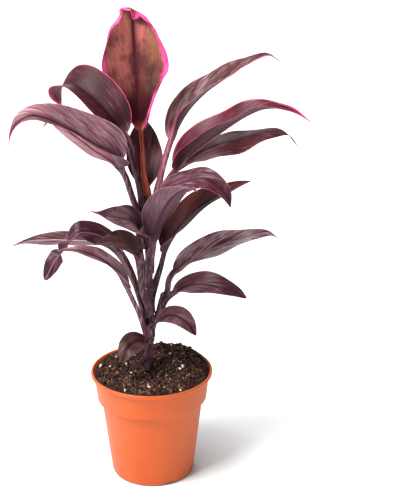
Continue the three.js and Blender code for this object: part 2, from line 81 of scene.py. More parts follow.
# Adds one node: its settings by name, and its inputs in the order the node shows them, each a
# number, a colour, or the node or socket it is linked from
def addNode(tree, kind, *inputs, **settings):
    node = tree.nodes.new("ShaderNode" + kind)
    for name, value in settings.items():
        setattr(node, name, value)
    shown = [socket for socket in node.inputs if socket.enabled]
    for socket, value in zip(shown, inputs):
        if isinstance(value, bpy.types.Node):
            value = next(output for output in value.outputs if output.enabled)
        if isinstance(value, bpy.types.NodeSocket):
            tree.links.new(value, socket)
        else:
            socket.default_value = value
    return node


# A named material with its node tree and its Principled shader, set by socket name
def newMaterial(name, **sockets):
    material = bpy.data.materials.new(name)
    material.use_nodes = True
    shader = material.node_tree.nodes["Principled BSDF"]
    for socket, value in sockets.items():
        shader.inputs[socket.replace("_", " ")].default_value = value
    return material, material.node_tree, shader


# Links a material's finished colour, relief and, where it varies, roughness to its shader
def dress(tree, shader, colour, relief, rough=None):
    tree.links.new(colour.outputs[2], shader.inputs["Base Color"])
    tree.links.new(relief.outputs[0], shader.inputs["Normal"])
    if rough:
        tree.links.new(rough.outputs[0], shader.inputs["Roughness"])


# A mesh object from points in millimetres, faces, and named values of each point
def meshObject(name, points, faces, values, material):
    mesh = bpy.data.meshes.new(name)
    mesh.from_pydata((points / metre).tolist(), [], faces)
    for label, value in values.items():
        kind, field = ("FLOAT_VECTOR", "vector") if value.ndim == 2 else ("FLOAT", "value")
        mesh.attributes.new(label, kind, "POINT").data.foreach_set(field, value.astype(np.float32).ravel())
    mesh.polygons.foreach_set("use_smooth", np.ones(len(mesh.polygons), dtype=bool))
    mesh.materials.append(material)
    mesh.update()
    thing = bpy.data.objects.new(name, mesh)
    bpy.context.collection.objects.link(thing)
    return thing


# Faces of a second mesh, renumbered to follow the points of the first
def after(points, faces):
    return [tuple(len(points) + i for i in face) for face in faces]


# Says that a finished piece rides on the root, and which CAD node it stands for, which is hidden. slotName
# is not used
def settle(piece, slotName, *nodes):
    if nodes:
        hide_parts(*nodes)
    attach(piece, "root")


# Camera, floor and light

studio = dict(
    eye=(47.6, -1100, 647), pitch=20.4, lens=90.18,
    floorReach=30000, floorColour="#ecf4f5", nearGlow=(30, 120, 0.38), farGlow=(400, 2500, 0.6),
    skyLeft="#ffffff", skyRight="#46484c", skyStrength=0.55,
    keyPlace=(-800, -650, 1700), keySize=900, keyPower=61, keyColour="#fffaf4",
    rimPlace=(-300, 1500, 1100), rimSize=700, rimPower=7, rimColour="#f6f9ff",
    aim=(0, 0, 230))


def addCamera():
    lens = bpy.data.cameras.new("photoCamera")
    lens.lens, lens.sensor_width, lens.clip_end = studio["lens"], 36, 100
    camera = bpy.data.objects.new("photoCamera", lens)
    camera.location = [c / metre for c in studio["eye"]]
    camera.rotation_euler = (math.radians(90 - studio["pitch"]), 0, 0)
    bpy.context.collection.objects.link(camera)
    bpy.context.scene.camera = camera


# A square softbox whose face looks at the aim point
def addSoftbox(name, place, size, power, colour):
    lamp = bpy.data.lights.new(name, "AREA")
    lamp.shape, lamp.size, lamp.energy, lamp.color = "SQUARE", size / metre, power, linear(colour)[:3]
    softbox = bpy.data.objects.new(name, lamp)
    away = np.array(place, float) - np.array(studio["aim"], float)
    tilt = math.atan2(math.hypot(away[0], away[1]), away[2])
    softbox.rotation_euler = (tilt, 0, math.atan2(away[1], away[0]) + math.pi / 2)
    softbox.location = [c / metre for c in place]
    bpy.context.collection.objects.link(softbox)


# Matt white paper with two glows that grow away from the pot, each given as where it starts, where it
# is full and its strength: the near one lightens the pot's soft shadow, the far one whitens the rest
def addFloor():
    paper, tree, shader = newMaterial(
        "matteWhitePaper", Base_Color=linear(studio["floorColour"]), Roughness=0.95, Specular_IOR_Level=0.1,
        Emission_Color=linear("#ffffff"))
    distance = addNode(tree, "VectorMath", addNode(tree, "TexCoord").outputs["Object"], operation="LENGTH")
    near, far = (addNode(tree, "MapRange", distance, starts / metre, full / metre, 0, strength)
                 for starts, full, strength in (studio["nearGlow"], studio["farGlow"]))
    glow = addNode(tree, "Math", near, far)
    tree.links.new(glow.outputs[0], shader.inputs["Emission Strength"])
    corners = studio["floorReach"] * np.array([(-1, -1, 0), (1, -1, 0), (1, 1, 0), (-1, 1, 0)], float)
    meshObject("floor", corners, [(0, 1, 2, 3)], {}, paper)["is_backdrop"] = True


# White walls all round, darker on the right, a softbox above on the left and one behind
def lightStudio():
    bpy.context.scene.view_settings.view_transform = "Standard"
    world = bpy.data.worlds.new("whiteStudio")
    world.use_nodes = True
    tree = world.node_tree
    sky = tree.nodes["Background"]
    toRight = addNode(tree, "SeparateXYZ", addNode(tree, "TexCoord").outputs["Generated"])
    wall = addNode(tree, "Mix", addNode(tree, "MapRange", toRight, -0.2, 0.8),
                   linear(studio["skyLeft"]), linear(studio["skyRight"]), data_type="RGBA")
    tree.links.new(wall.outputs[2], sky.inputs["Color"])
    sky.inputs["Strength"].default_value = studio["skyStrength"]
    bpy.context.scene.world = world
    for lamp in ("key", "rim"):
        place, size, power, colour = (studio[lamp + part] for part in ("Place", "Size", "Power", "Colour"))
        addSoftbox(lamp + "Softbox", place, size, power, colour)


addCamera()
addFloor()
lightStudio()
print("camera, floor and light are set")


# Pot

pot = dict(
    sides=192,
    # radius, height and rounding of each corner: from the middle underneath, out, up, over the lip and in
    corners=[
        (0, 0, 0), (37, 0, 1.5), (40.2, 1, 1.2), (41, 4, 1.5), (50, 79.5, 0.9), (54, 81, 0.6),
        (56.6, 104.8, 0.5), (59.5, 105.4, 0.8), (60, 108.2, 1.2), (59.2, 109, 0.5), (57.9, 109, 0.5),
        (55.3, 104.8, 1.2), (52.7, 82.3, 1.2), (48.7, 80.8, 1.4), (39.7, 5.3, 1.5), (37, 2, 1.2), (0, 2, 0)],
    cornerSteps=5, wallSteps=6,
    drainAngles=(296, 56, 176), drainReach=(29, 45), drainWidth=8, drainHeight=3,
    colour="#c35118", pale="#ca5a20", dull="#a84414", roughness=0.42)


# A profile with rounded corners: each corner becomes the curve (1-s)^2 a + 2s(1-s) c + s^2 b between
# the points a and b that lie its rounding away along its two sides
def roundedProfile(corners, cornerSteps, wallSteps):
    place = np.array([c[:2] for c in corners], float)
    rounding = np.array([c[2] for c in corners], float)[1:-1, None]
    side = np.diff(place, axis=0)
    unit = side / np.linalg.norm(side, axis=1)[:, None]
    a = (place[1:-1] - unit[:-1] * rounding)[:, None]
    b = (place[1:-1] + unit[1:] * rounding)[:, None]
    s = np.linspace(0, 1, cornerSteps)[None, :, None]
    turns = (1 - s) ** 2 * a + 2 * s * (1 - s) * place[1:-1, None] + s ** 2 * b
    starts = np.vstack([place[:1], turns[:, -1]])[:, None]
    ends = np.vstack([turns[:, 0], place[-1:]])[:, None]
    w = np.linspace(0, 1, wallSteps + 1)[1:-1][None, :, None]
    walls = starts * (1 - w) + ends * w
    between = np.concatenate([walls[:-1], turns], axis=1).reshape(-1, 2)
    return np.vstack([place[:1], between, walls[-1], place[-1:]])


# Faces of rings of points round an axis: quads between the rings and a fan to a pole at each end.
# The first point is the first pole, then come the rings, then the last pole
def ringFaces(rings, sides):
    ring, side = np.meshgrid(np.arange(rings - 1), np.arange(sides), indexing="ij")
    a, b = 1 + ring * sides + side, 1 + ring * sides + (side + 1) % sides
    quads = np.stack([a, b, b + sides, a + sides], axis=-1).reshape(-1, 4).tolist()
    around = np.arange(sides)
    onward = (around + 1) % sides
    top = 1 + (rings - 1) * sides
    first = np.stack([0 * around, 1 + onward, 1 + around], axis=-1).tolist()
    last = np.stack([0 * around + top + sides, top + around, top + onward], axis=-1).tolist()
    return quads + first + last


# Angles that share a full turn evenly
def roundAngles(count):
    return np.arange(count) * 2 * np.pi / count


# Points of rings round the z axis: x = r cos a, y = r sin a
def ringPoints(radius, height, angle):
    rings = np.stack([radius * np.cos(angle), radius * np.sin(angle), height + 0 * angle], axis=-1)
    return rings.reshape(-1, 3)


# A profile turned round the z axis, from its first pole to its last
def turned(profile, sides):
    rings = ringPoints(profile[1:-1, 0, None], profile[1:-1, 1, None], roundAngles(sides))
    return np.vstack([[[0, 0, profile[0, 1]]], rings, [[0, 0, profile[-1, 1]]]])


# Injection-moulded polypropylene, terracotta coloured: satin, faintly clouded by the flow of the
# melt, with the fine grain of the spark-eroded mould, and a little scuffed round
def mouldedPolypropylene(look):
    material, tree, shader = newMaterial(
        "mouldedPolypropylene", IOR=1.49, Specular_IOR_Level=0.35, Subsurface_Weight=0.12,
        Subsurface_Radius=(1, 0.45, 0.25), Subsurface_Scale=0.003)
    place = addNode(tree, "TexCoord").outputs["Object"]
    # the melt's clouds are 30 mm wide and 100 mm long, up the wall
    cloudPlace = addNode(tree, "Mapping", place, (0, 0, 0), (0, 0, 0), (28, 28, 9))
    cloud = addNode(tree, "MapRange", addNode(tree, "TexNoise", cloudPlace, 1, 3), 0.35, 0.7)
    # scuffs run round the pot, 2 mm high and 15 mm long
    scuffPlace = addNode(tree, "Mapping", place, (0, 0, 0), (0, 0, 0), (60, 60, 420))
    scuff = addNode(tree, "MapRange", addNode(tree, "TexNoise", scuffPlace, 1, 4), 0.6, 0.78, 0, 0.35)
    # mould grain of 0.2 mm, drawn at 1.1 mm so that it shows
    grain = addNode(tree, "TexNoise", place, 900, 2)
    body = addNode(tree, "Mix", cloud, linear(look["colour"]), linear(look["pale"]), data_type="RGBA")
    body = addNode(tree, "Mix", scuff, body, linear(look["dull"]), data_type="RGBA")
    rough = addNode(tree, "MapRange", grain, 0, 1, look["roughness"] - 0.06, look["roughness"] + 0.12)
    dress(tree, shader, body, addNode(tree, "Bump", 0.18, 0.0003, 1, grain), rough)
    return material


# Cuts the drain slots: a box out from the floor through the foot of the wall, at each angle
def cutDrains(piece, look):
    inner, outer = look["drainReach"]
    box = np.array([(x, y, z) for x in (inner, outer) for y in (-1, 1) for z in (-1, 1)], float)
    box *= (1, look["drainWidth"] / 2, look["drainHeight"])
    faces = np.array([(0, 1, 3, 2), (4, 6, 7, 5), (0, 4, 5, 1), (2, 3, 7, 6), (0, 2, 6, 4), (1, 5, 7, 3)])
    corners, sides = np.zeros((0, 3)), []
    for degrees in look["drainAngles"]:
        c, s = math.cos(math.radians(degrees)), math.sin(math.radians(degrees))
        sides += after(corners, faces.tolist())
        corners = np.vstack([corners, box @ np.array([(c, s, 0), (-s, c, 0), (0, 0, 1)])])
    cutter = meshObject("drainCutter", corners, sides, {}, piece.data.materials[0])
    cut = piece.modifiers.new("drains", "BOOLEAN")
    cut.operation, cut.solver, cut.object = "DIFFERENCE", "EXACT", cutter
    whole = bpy.data.meshes.new_from_object(piece.evaluated_get(bpy.context.evaluated_depsgraph_get()))
    piece.modifiers.clear()
    piece.data = whole
    bpy.data.objects.remove(cutter)


def makePot(look):
    profile = roundedProfile(look["corners"], look["cornerSteps"], look["wallSteps"])
    points, faces = turned(profile, look["sides"]), ringFaces(len(profile) - 2, look["sides"])
    piece = meshObject("nurseryPot", points, faces, {}, mouldedPolypropylene(look))
    cutDrains(piece, look)
    settle(piece, "pot_plastic", "pot")


makePot(pot)
print("pot is made")


# Soil

soil = dict(
    top=107.5, heap=(24, 36, 6, 32), dip=(-34, -14, -1.5, 16),
    lumps=[(5.3, 0.5, 4.1, 1.2, 0.5), (3.1, 2, -3.4, 0.3, 0.4), (-2.6, 1, 2.9, 4, 0.25)],
    clods=(7.3, 1.7), ridges=(3.9, 2), grit=(1.9, 0.9), fold=0.4, seed=11,
    wall=[(36.5, 2.3), (39.2, 5.6), (48.2, 81.1), (52.2, 82.6), (54.6, 104.2)],
    rim=56.2, rimWidth=2.5, rimRelief=0.25, rimDrop=0.6, rings=110, sides=300,
    dark="#150807", brown="#421f19", tan="#94644f")
# what is strewn on it: the smallest and largest size, the stretch along three axes, and the share of
# each grain's size that it is sunk by
crumbs = dict(seed=21, count=3200, sizes=(0.4, 2.3), stretch=(1.1, 0.9, 0.75), sunk=0.2, reach=53,
              brownShare=0.28, brownest=0.5)
perlite = dict(seed=31, count=60, sizes=(0.4, 2.2), stretch=(1, 0.9, 0.8), sunk=0.1, reach=53,
               colour="#efe8dc", soiled="#9a8468")
chips = dict(seed=41, count=900, sizes=(0.3, 1.3), stretch=(1.5, 0.8, 0.3), sunk=0, reach=52)
fibres = dict(seed=51, count=260, steps=7, reach=50, length=(3, 9), bend=1.6, thickness=(0.12, 0.3),
              clear=0.45, arch=0.8)
bark = dict(dark="#4d3423", pale="#c9a476", groove="#33221a")


# Height of the soil: a level, a heap and a dip as in the CAD, and lower lumps from crossed waves
def soilHeight(x, y):
    z = soil["top"] + 0 * x
    for bumpX, bumpY, height, spread in (soil["heap"], soil["dip"]):
        z = z + height * np.exp(-((x - bumpX) ** 2 + (y - bumpY) ** 2) / (2 * spread ** 2))
    for spanX, startX, spanY, startY, height in soil["lumps"]:
        z = z + height * np.sin(x / spanX + startX) * np.cos(y / spanY + startY)
    return z


# Crumbly relief on that height: clods, and two finer sizes of noise folded into ridges. Each size has
# its spacing and height, and shifts of 3 and 5 mm keep the three from lining up
def crumbRelief(x, y):
    seed, fold = soil["seed"], soil["fold"]
    (clodSpan, clodHeight), (ridgeSpan, ridgeHeight) = soil["clods"], soil["ridges"]
    gritSpan, gritHeight = soil["grit"]
    clod = softNoise(x, y, clodSpan, seed)
    ridge = fold - np.abs(softNoise(x + 3, y, ridgeSpan, seed + 1))
    grit = fold - np.abs(softNoise(x, y + 5, gritSpan, seed + 2))
    return clodHeight * clod + ridgeHeight * ridge + gritHeight * grit


# Moist peat compost, sieved and dropped in: matt and almost black, with brown fibre and fine pale
# flecks. tone is the share of brown that each grain carries, from 0 to 1
def peatCompost(look):
    material, tree, shader = newMaterial("peatCompost", Roughness=0.88, IOR=1.4)
    place = addNode(tree, "TexCoord").outputs["Object"]
    tone = addNode(tree, "Attribute", attribute_name="tone").outputs["Fac"]
    # crumbs of 1 to 3 mm, in patches of 10 mm
    fine = addNode(tree, "TexNoise", place, 620, 5)
    patch = addNode(tree, "MapRange", addNode(tree, "TexNoise", place, 90, 3), 0.46, 0.62)
    fleck = addNode(tree, "MapRange", addNode(tree, "TexVoronoi", place, 430), 0.16, 0.1)
    earth = addNode(tree, "Mix", addNode(tree, "MapRange", fine, 0.4, 0.68),
                    linear(look["dark"]), linear(look["brown"]), data_type="RGBA")
    flecked = addNode(tree, "Math", fleck, patch, operation="MULTIPLY")
    pale = addNode(tree, "Math", flecked, tone, operation="MAXIMUM")
    shown = addNode(tree, "Mix", pale, earth, linear(look["tan"]), data_type="RGBA")
    dress(tree, shader, shown, addNode(tree, "Bump", 0.6, 0.0008, 1, fine))
    return material


# Expanded perlite: popped volcanic glass, chalk white and matt, its bubbles giving a dimpled face
def expandedPerlite(look):
    material, tree, shader = newMaterial("expandedPerlite", Roughness=0.8)
    place = addNode(tree, "TexCoord").outputs["Object"]
    bubbles = addNode(tree, "TexVoronoi", place, 2400)    # bubbles of 0.4 mm
    soiled = addNode(tree, "MapRange", addNode(tree, "TexNoise", place, 300, 3), 0.45, 0.7, 0, 0.6)
    shown = addNode(tree, "Mix", soiled, linear(look["colour"]), linear(look["soiled"]), data_type="RGBA")
    dress(tree, shader, shown, addNode(tree, "Bump", 0.5, 0.0002, 1, bubbles))
    return material


# Shredded pine bark and wood fibre: dry and matt, warm tan to brown, darker in the grain's grooves
def shreddedBark(look):
    material, tree, shader = newMaterial("shreddedBark", Roughness=0.75)
    place = addNode(tree, "TexCoord").outputs["Object"]
    tone = addNode(tree, "Attribute", attribute_name="tone").outputs["Fac"]
    grain = addNode(tree, "TexNoise", place, 800, 4)    # grooves of 1 mm
    wood = addNode(tree, "Mix", tone, linear(look["dark"]), linear(look["pale"]), data_type="RGBA")
    shown = addNode(tree, "Mix", addNode(tree, "MapRange", grain, 0.4, 0.75, 0, 0.7),
                    wood, linear(look["groove"]), data_type="RGBA")
    dress(tree, shader, shown, addNode(tree, "Bump", 0.4, 0.0004, 1, grain))
    return material


# The plug of soil: rings up the pot's inner wall, then over the top from the rim to the middle
def soilPlug():
    angle = roundAngles(soil["sides"])
    wall = np.array(soil["wall"], float)
    radius = soil["rim"] * np.linspace(1, 0, soil["rings"], endpoint=False)[:, None]
    x, y = radius * np.cos(angle), radius * np.sin(angle)
    inside = ease(soil["rim"] - radius, 0, soil["rimWidth"])
    strength = soil["rimRelief"] + (1 - soil["rimRelief"]) * inside
    z = soilHeight(x, y) + crumbRelief(x, y) * strength - soil["rimDrop"] * (1 - inside)
    points = np.vstack([
        [[0, 0, wall[0, 1]]], ringPoints(wall[:, :1], wall[:, 1:], angle),
        ringPoints(radius, z, angle), [[0, 0, z[-1].mean()]]])
    return points, ringFaces(len(wall) + soil["rings"], soil["sides"])


# Icosahedron: the corners (0, 1, golden ratio) in every cyclic order and sign
def icosahedron():
    g = (1 + math.sqrt(5)) / 2
    corners = np.array([(-1, g, 0), (1, g, 0), (-1, -g, 0), (1, -g, 0), (0, -1, g), (0, 1, g),
                        (0, -1, -g), (0, 1, -g), (g, 0, -1), (g, 0, 1), (-g, 0, -1), (-g, 0, 1)], float)
    faces = [(0, 11, 5), (0, 5, 1), (0, 1, 7), (0, 7, 10), (0, 10, 11), (1, 5, 9), (5, 11, 4), (11, 10, 2),
             (10, 7, 6), (7, 1, 8), (3, 9, 4), (3, 4, 2), (3, 2, 6), (3, 6, 8), (3, 8, 9), (4, 9, 5),
             (2, 4, 11), (6, 2, 10), (8, 6, 7), (9, 8, 1)]
    return corners / math.hypot(1, g), np.array(faces)


# Random turns, one matrix for each: the rotation of a random unit quaternion
def randomTurns(random, count):
    q = random.normal(size=(count, 4))
    w, x, y, z = (q / np.linalg.norm(q, axis=1)[:, None]).T
    rows = [1 - 2 * (y * y + z * z), 2 * (x * y - z * w), 2 * (x * z + y * w),
            2 * (x * y + z * w), 1 - 2 * (x * x + z * z), 2 * (y * z - x * w),
            2 * (x * z - y * w), 2 * (y * z + x * w), 1 - 2 * (x * x + y * y)]
    return np.stack(rows, axis=-1).reshape(count, 3, 3)


# Grains strewn over the soil: icosahedra stretched along three axes, dented by up to 0.42 of their
# size, turned at random and sunk by a share of their size. Few are large: size grows with random^2.5.
# Even over the disc: radius = reach * sqrt(random)
def strewnGrains(look):
    random, count = np.random.default_rng(look["seed"]), look["count"]
    corners, faces = icosahedron()
    smallest, largest = look["sizes"]
    size = smallest + (largest - smallest) * random.random(count) ** 2.5
    dents = 1 + 0.42 * random.uniform(-1, 1, (count, len(corners), 1))
    shape = size[:, None, None] * corners * np.array(look["stretch"]) * dents
    shape = np.einsum("nij,nkj->nki", randomTurns(random, count), shape)
    radius, angle = look["reach"] * np.sqrt(random.random(count)), random.random(count) * 2 * np.pi
    x, y = radius * np.cos(angle), radius * np.sin(angle)
    z = soilHeight(x, y) + crumbRelief(x, y) + size * (0.5 - look["sunk"])
    points = (shape + np.stack([x, y, z], axis=-1)[:, None]).reshape(-1, 3)
    every = (faces[None] + len(corners) * np.arange(count)[:, None, None]).reshape(-1, 3)
    return points, every.tolist(), np.repeat(random.random(count), len(corners))


# Fibres: three-sided strands along an arc that lies on the soil, thinner at both ends. With s from
# -0.5 to 0.5 along the strand, its thickness goes as 1.15 - 3.2 s^2 and its arch as 0.25 - s^2
def strewnFibres(look):
    random, count, steps = np.random.default_rng(look["seed"]), look["count"], look["steps"]
    each = (count, 1)
    s = np.linspace(-0.5, 0.5, steps)[None]
    length, heading = random.uniform(*look["length"], each), random.random(each) * 2 * np.pi
    bend, thick = look["bend"] * random.uniform(-1, 1, each), random.uniform(*look["thickness"], each)
    radius, angle = look["reach"] * np.sqrt(random.random(each)), random.random(each) * 2 * np.pi
    x = radius * np.cos(angle) + length * s * np.cos(heading + bend * s)
    y = radius * np.sin(angle) + length * s * np.sin(heading + bend * s)
    z = soilHeight(x, y) + crumbRelief(x, y) + look["clear"]
    z = z + look["arch"] * random.random(each) * (0.25 - s ** 2)
    corner = roundAngles(3)
    width = (thick * (1.15 - 3.2 * s ** 2))[..., None]
    ringX = x[..., None] - np.sin(heading)[..., None] * width * np.cos(corner)
    ringY = y[..., None] + np.cos(heading)[..., None] * width * np.cos(corner)
    ringZ = z[..., None] + width * np.sin(corner)
    points = np.stack([ringX, ringY, ringZ], axis=-1).reshape(-1, 3)
    row, side = np.meshgrid(np.arange(steps - 1), np.arange(3), indexing="ij")
    a, b = row * 3 + side, row * 3 + (side + 1) % 3
    quads = np.stack([a, b, b + 3, a + 3], axis=-1).reshape(-1, 4)
    ends = np.array([(2, 1, 0), (3 * steps - 3, 3 * steps - 2, 3 * steps - 1)])
    start = 3 * steps * np.arange(count)[:, None, None]
    faces = (quads[None] + start).reshape(-1, 4).tolist() + (ends[None] + start).reshape(-1, 3).tolist()
    return points, faces, np.repeat(random.uniform(0.2, 1, count), 3 * steps)


def makeSoil():
    points, faces = soilPlug()
    grains, grainFaces, tone = strewnGrains(crumbs)
    # a share of the crumbs is brown, each more or less so
    browner = np.clip(tone - 1 + crumbs["brownShare"], 0, 1) / crumbs["brownShare"]
    brown = np.concatenate([0 * points[:, 0], crumbs["brownest"] * browner])
    piece = meshObject("pottingSoil", np.vstack([points, grains]), faces + after(points, grainFaces),
                       {"tone": brown}, peatCompost(soil))
    settle(piece, "soil", "soil")
    points, faces, tone = strewnGrains(perlite)
    settle(meshObject("perliteGrains", points, faces, {"tone": tone}, expandedPerlite(perlite)), "soil")
    points, faces, tone = strewnGrains(chips)
    strands, strandFaces, strandTone = strewnFibres(fibres)
    piece = meshObject("barkAndFibre", np.vstack([points, strands]), faces + after(points, strandFaces),
                       {"tone": np.concatenate([tone, strandTone])}, shreddedBark(bark))
    settle(piece, "soil")


makeSoil()
print("soil is made")


# Cane: points on the axis of the main cane and of its side shoot, each with the radius there

mainCane = np.array([
    (-2, 0, 75, 2.5), (-2, 0, 106, 3.4), (-1, 0, 134, 3.2), (0, 0, 158, 3.2), (-1, 0, 186, 3.4),
    (-1, 0, 214, 3.3), (-2, 0, 242, 3.1), (-3, 0, 268, 2.8), (-3, 0, 290, 2.2)])
sideShoot = np.array([(0, 0, 142, 2.0), (4, 2, 160, 2.3), (8, 3, 174, 2.4), (12, 3, 190, 2.2)])
cane = dict(
    sides=40, rowStep=0.5, roundedTop=2, unevenness=0.16, mainSeed=61, shootSeed=71,
    scarSpacing=7.5, scarHeight=0.2, scarWidth=0.7, scarWander=1.2, scarTilt=0.6,
    bark="#5a3c45", dark="#24131a", scar="#7a5a5c")


# x, y and radius of a stem's axis at height z
def stemAt(axis, z):
    return [np.interp(z, axis[:, 2], axis[:, i]) for i in (0, 1, 3)]


# A round tube up the axis, closed by a rounded top: its radius swells to a low ring at each leaf
# scar, and smooth noise makes it uneven
def caneTube(axis, seed):
    bottom, top = axis[0, 2], axis[-1, 2]
    z = np.arange(bottom, top, cane["rowStep"])[:, None]
    x, y, radius = stemAt(axis, z)
    angle = roundAngles(cane["sides"])
    wander = cane["scarWander"] * softNoise(z, 0 * z, 11, seed)
    phase = (z + wander + cane["scarTilt"] * np.cos(angle)) / cane["scarSpacing"]
    ring = np.exp(-((phase - np.round(phase)) * cane["scarSpacing"] / cane["scarWidth"]) ** 2)
    uneven = cane["unevenness"] * softNoise(angle * 3 + 0 * z, z, 4, seed + 1)
    closing = np.sqrt(np.clip((top - z) / cane["roundedTop"], 0, 1))
    reach = (radius + cane["scarHeight"] * ring + uneven) * closing
    rows = np.stack([x + reach * np.cos(angle), y + reach * np.sin(angle), z + 0 * angle], axis=-1)
    poles = [[*axis[0, :3]]], [[*axis[-1, :3]]]
    points = np.vstack([poles[0], rows.reshape(-1, 3), poles[1]])
    return points, ringFaces(len(z), cane["sides"]), np.concatenate([[0], ring.ravel(), [0]])


# Green cane of the ti plant: smooth young bark, dull purple brown, with paler corky rings where
# leaves have dropped
def youngCaneBark(look):
    material, tree, shader = newMaterial("youngCaneBark", Roughness=0.48, IOR=1.42)
    place = addNode(tree, "TexCoord").outputs["Object"]
    scar = addNode(tree, "Attribute", attribute_name="scar").outputs["Fac"]
    # bark streaks 1 mm wide and 17 mm long
    streakPlace = addNode(tree, "Mapping", place, (0, 0, 0), (0, 0, 0), (900, 900, 60))
    streak = addNode(tree, "TexNoise", streakPlace, 1, 4)
    bark = addNode(tree, "Mix", addNode(tree, "MapRange", streak, 0.35, 0.7),
                   linear(look["dark"]), linear(look["bark"]), data_type="RGBA")
    shown = addNode(tree, "Mix", addNode(tree, "Math", scar, 0.4, operation="MULTIPLY"),
                    bark, linear(look["scar"]), data_type="RGBA")
    dress(tree, shader, shown, addNode(tree, "Bump", 0.35, 0.0004, 1, streak))
    return material


def makeCane():
    points, faces, scar = caneTube(mainCane, cane["mainSeed"])
    more, moreFaces, moreScar = caneTube(sideShoot, cane["shootSeed"])
    piece = meshObject("leafyCane", np.vstack([points, more]), faces + after(points, moreFaces),
                       {"scar": np.concatenate([scar, moreScar])}, youngCaneBark(cane))
    settle(piece, "stem", "stem")


makeCane()
print("cane is made")


# Leaves

# What all leaves share: the grid, the sheath that clasps the stem, the channelled stalk, thicknesses,
# the keel under the midrib and the groove over it, pleats along the veins, and uneven dents
leafShape = dict(
    stalkRows=36, bladeRows=96, halfColumns=17,
    sheathAngle=85, sheathRise=12, sheathLean=2.6, seatGap=0.5, sheathNarrows=(0.1, 0.75),
    stalkHalfWidth=3.8, stalkCurl=80, bladeOpens=0.18, rippleLag=0.9,
    marginThickness=0.22, bladeThickness=0.28, stalkThickness=2, tipHalfWidth=0.2,
    keelDepth=1.2, keelWidth=1.3, grooveDepth=0.55, grooveWidth=1.1,
    pleatSpacing=4.6, pleatHeight=0.13, veinLean=0.22, unevenness=0.5, unevenSpacing=17, unevenOffRib=(1, 8),
    stalkFades=0.1, marginRolls=(0.78, 0.92))


# Smooth line through points: between two of them b + vs + (3(c-b)-2v-w)s^2 + (2(b-c)+v+w)s^3, where
# the end speeds v and w come from the square roots of the gaps (a centripetal Catmull-Rom curve).
# Gives places on the line, the direction at each, and how far along it lies
def lineThrough(points):
    ends = np.vstack([2 * points[0] - points[1], points, 2 * points[-1] - points[-2]])
    gap = np.sqrt(np.linalg.norm(np.diff(ends, axis=0), axis=1))
    g0, g1, g2 = gap[:-2, None], gap[1:-1, None], gap[2:, None]
    a, b, c, d = ends[:-3], ends[1:-2], ends[2:-1], ends[3:]
    v = (g1 * ((b - a) / g0 - (c - a) / (g0 + g1) + (c - b) / g1))[:, None]
    w = (g1 * ((c - b) / g1 - (d - b) / (g1 + g2) + (d - c) / g2))[:, None]
    s = np.linspace(0, 1, 60, endpoint=False)[None, :, None]
    b, c = b[:, None], c[:, None]
    inner = b + v * s + (3 * (c - b) - 2 * v - w) * s ** 2 + (2 * (b - c) + v + w) * s ** 3
    line = np.vstack([inner.reshape(-1, 3), points[-1:]])
    along = np.concatenate([[0], np.cumsum(np.linalg.norm(np.diff(line, axis=0), axis=1))])
    direction = np.gradient(line, along, axis=0)
    return line, direction / np.linalg.norm(direction, axis=1)[:, None], along


# Value keyed at even steps from the blade's foot to its tip, eased between the keys
def keyed(keys, t):
    keys, place = np.array(keys, float), t * (len(keys) - 1)
    start = np.minimum(place.astype(int), len(keys) - 2)
    return keys[start] + (keys[start + 1] - keys[start]) * ease(place - start, 0, 1)


# One half of each cross-section. The angle from flat grows as fold + curl r + edge roll, with r from
# 0 at the midrib to 1 at the margin; out and rise are the running sums of its cosine and sine
def halfSection(half, fold, curl, edgeRoll, reach):
    angle = fold + curl * reach + edgeRoll * ease(reach, *leafShape["marginRolls"])
    middle = (angle[:, 1:] + angle[:, :-1]) / 2
    step = np.diff(reach, axis=1) * half
    start = np.zeros((len(half), 1))
    out = np.hstack([start, np.cumsum(np.cos(middle) * step, axis=1)])
    rise = np.hstack([start, np.cumsum(np.sin(middle) * step, axis=1)])
    return out, rise, angle


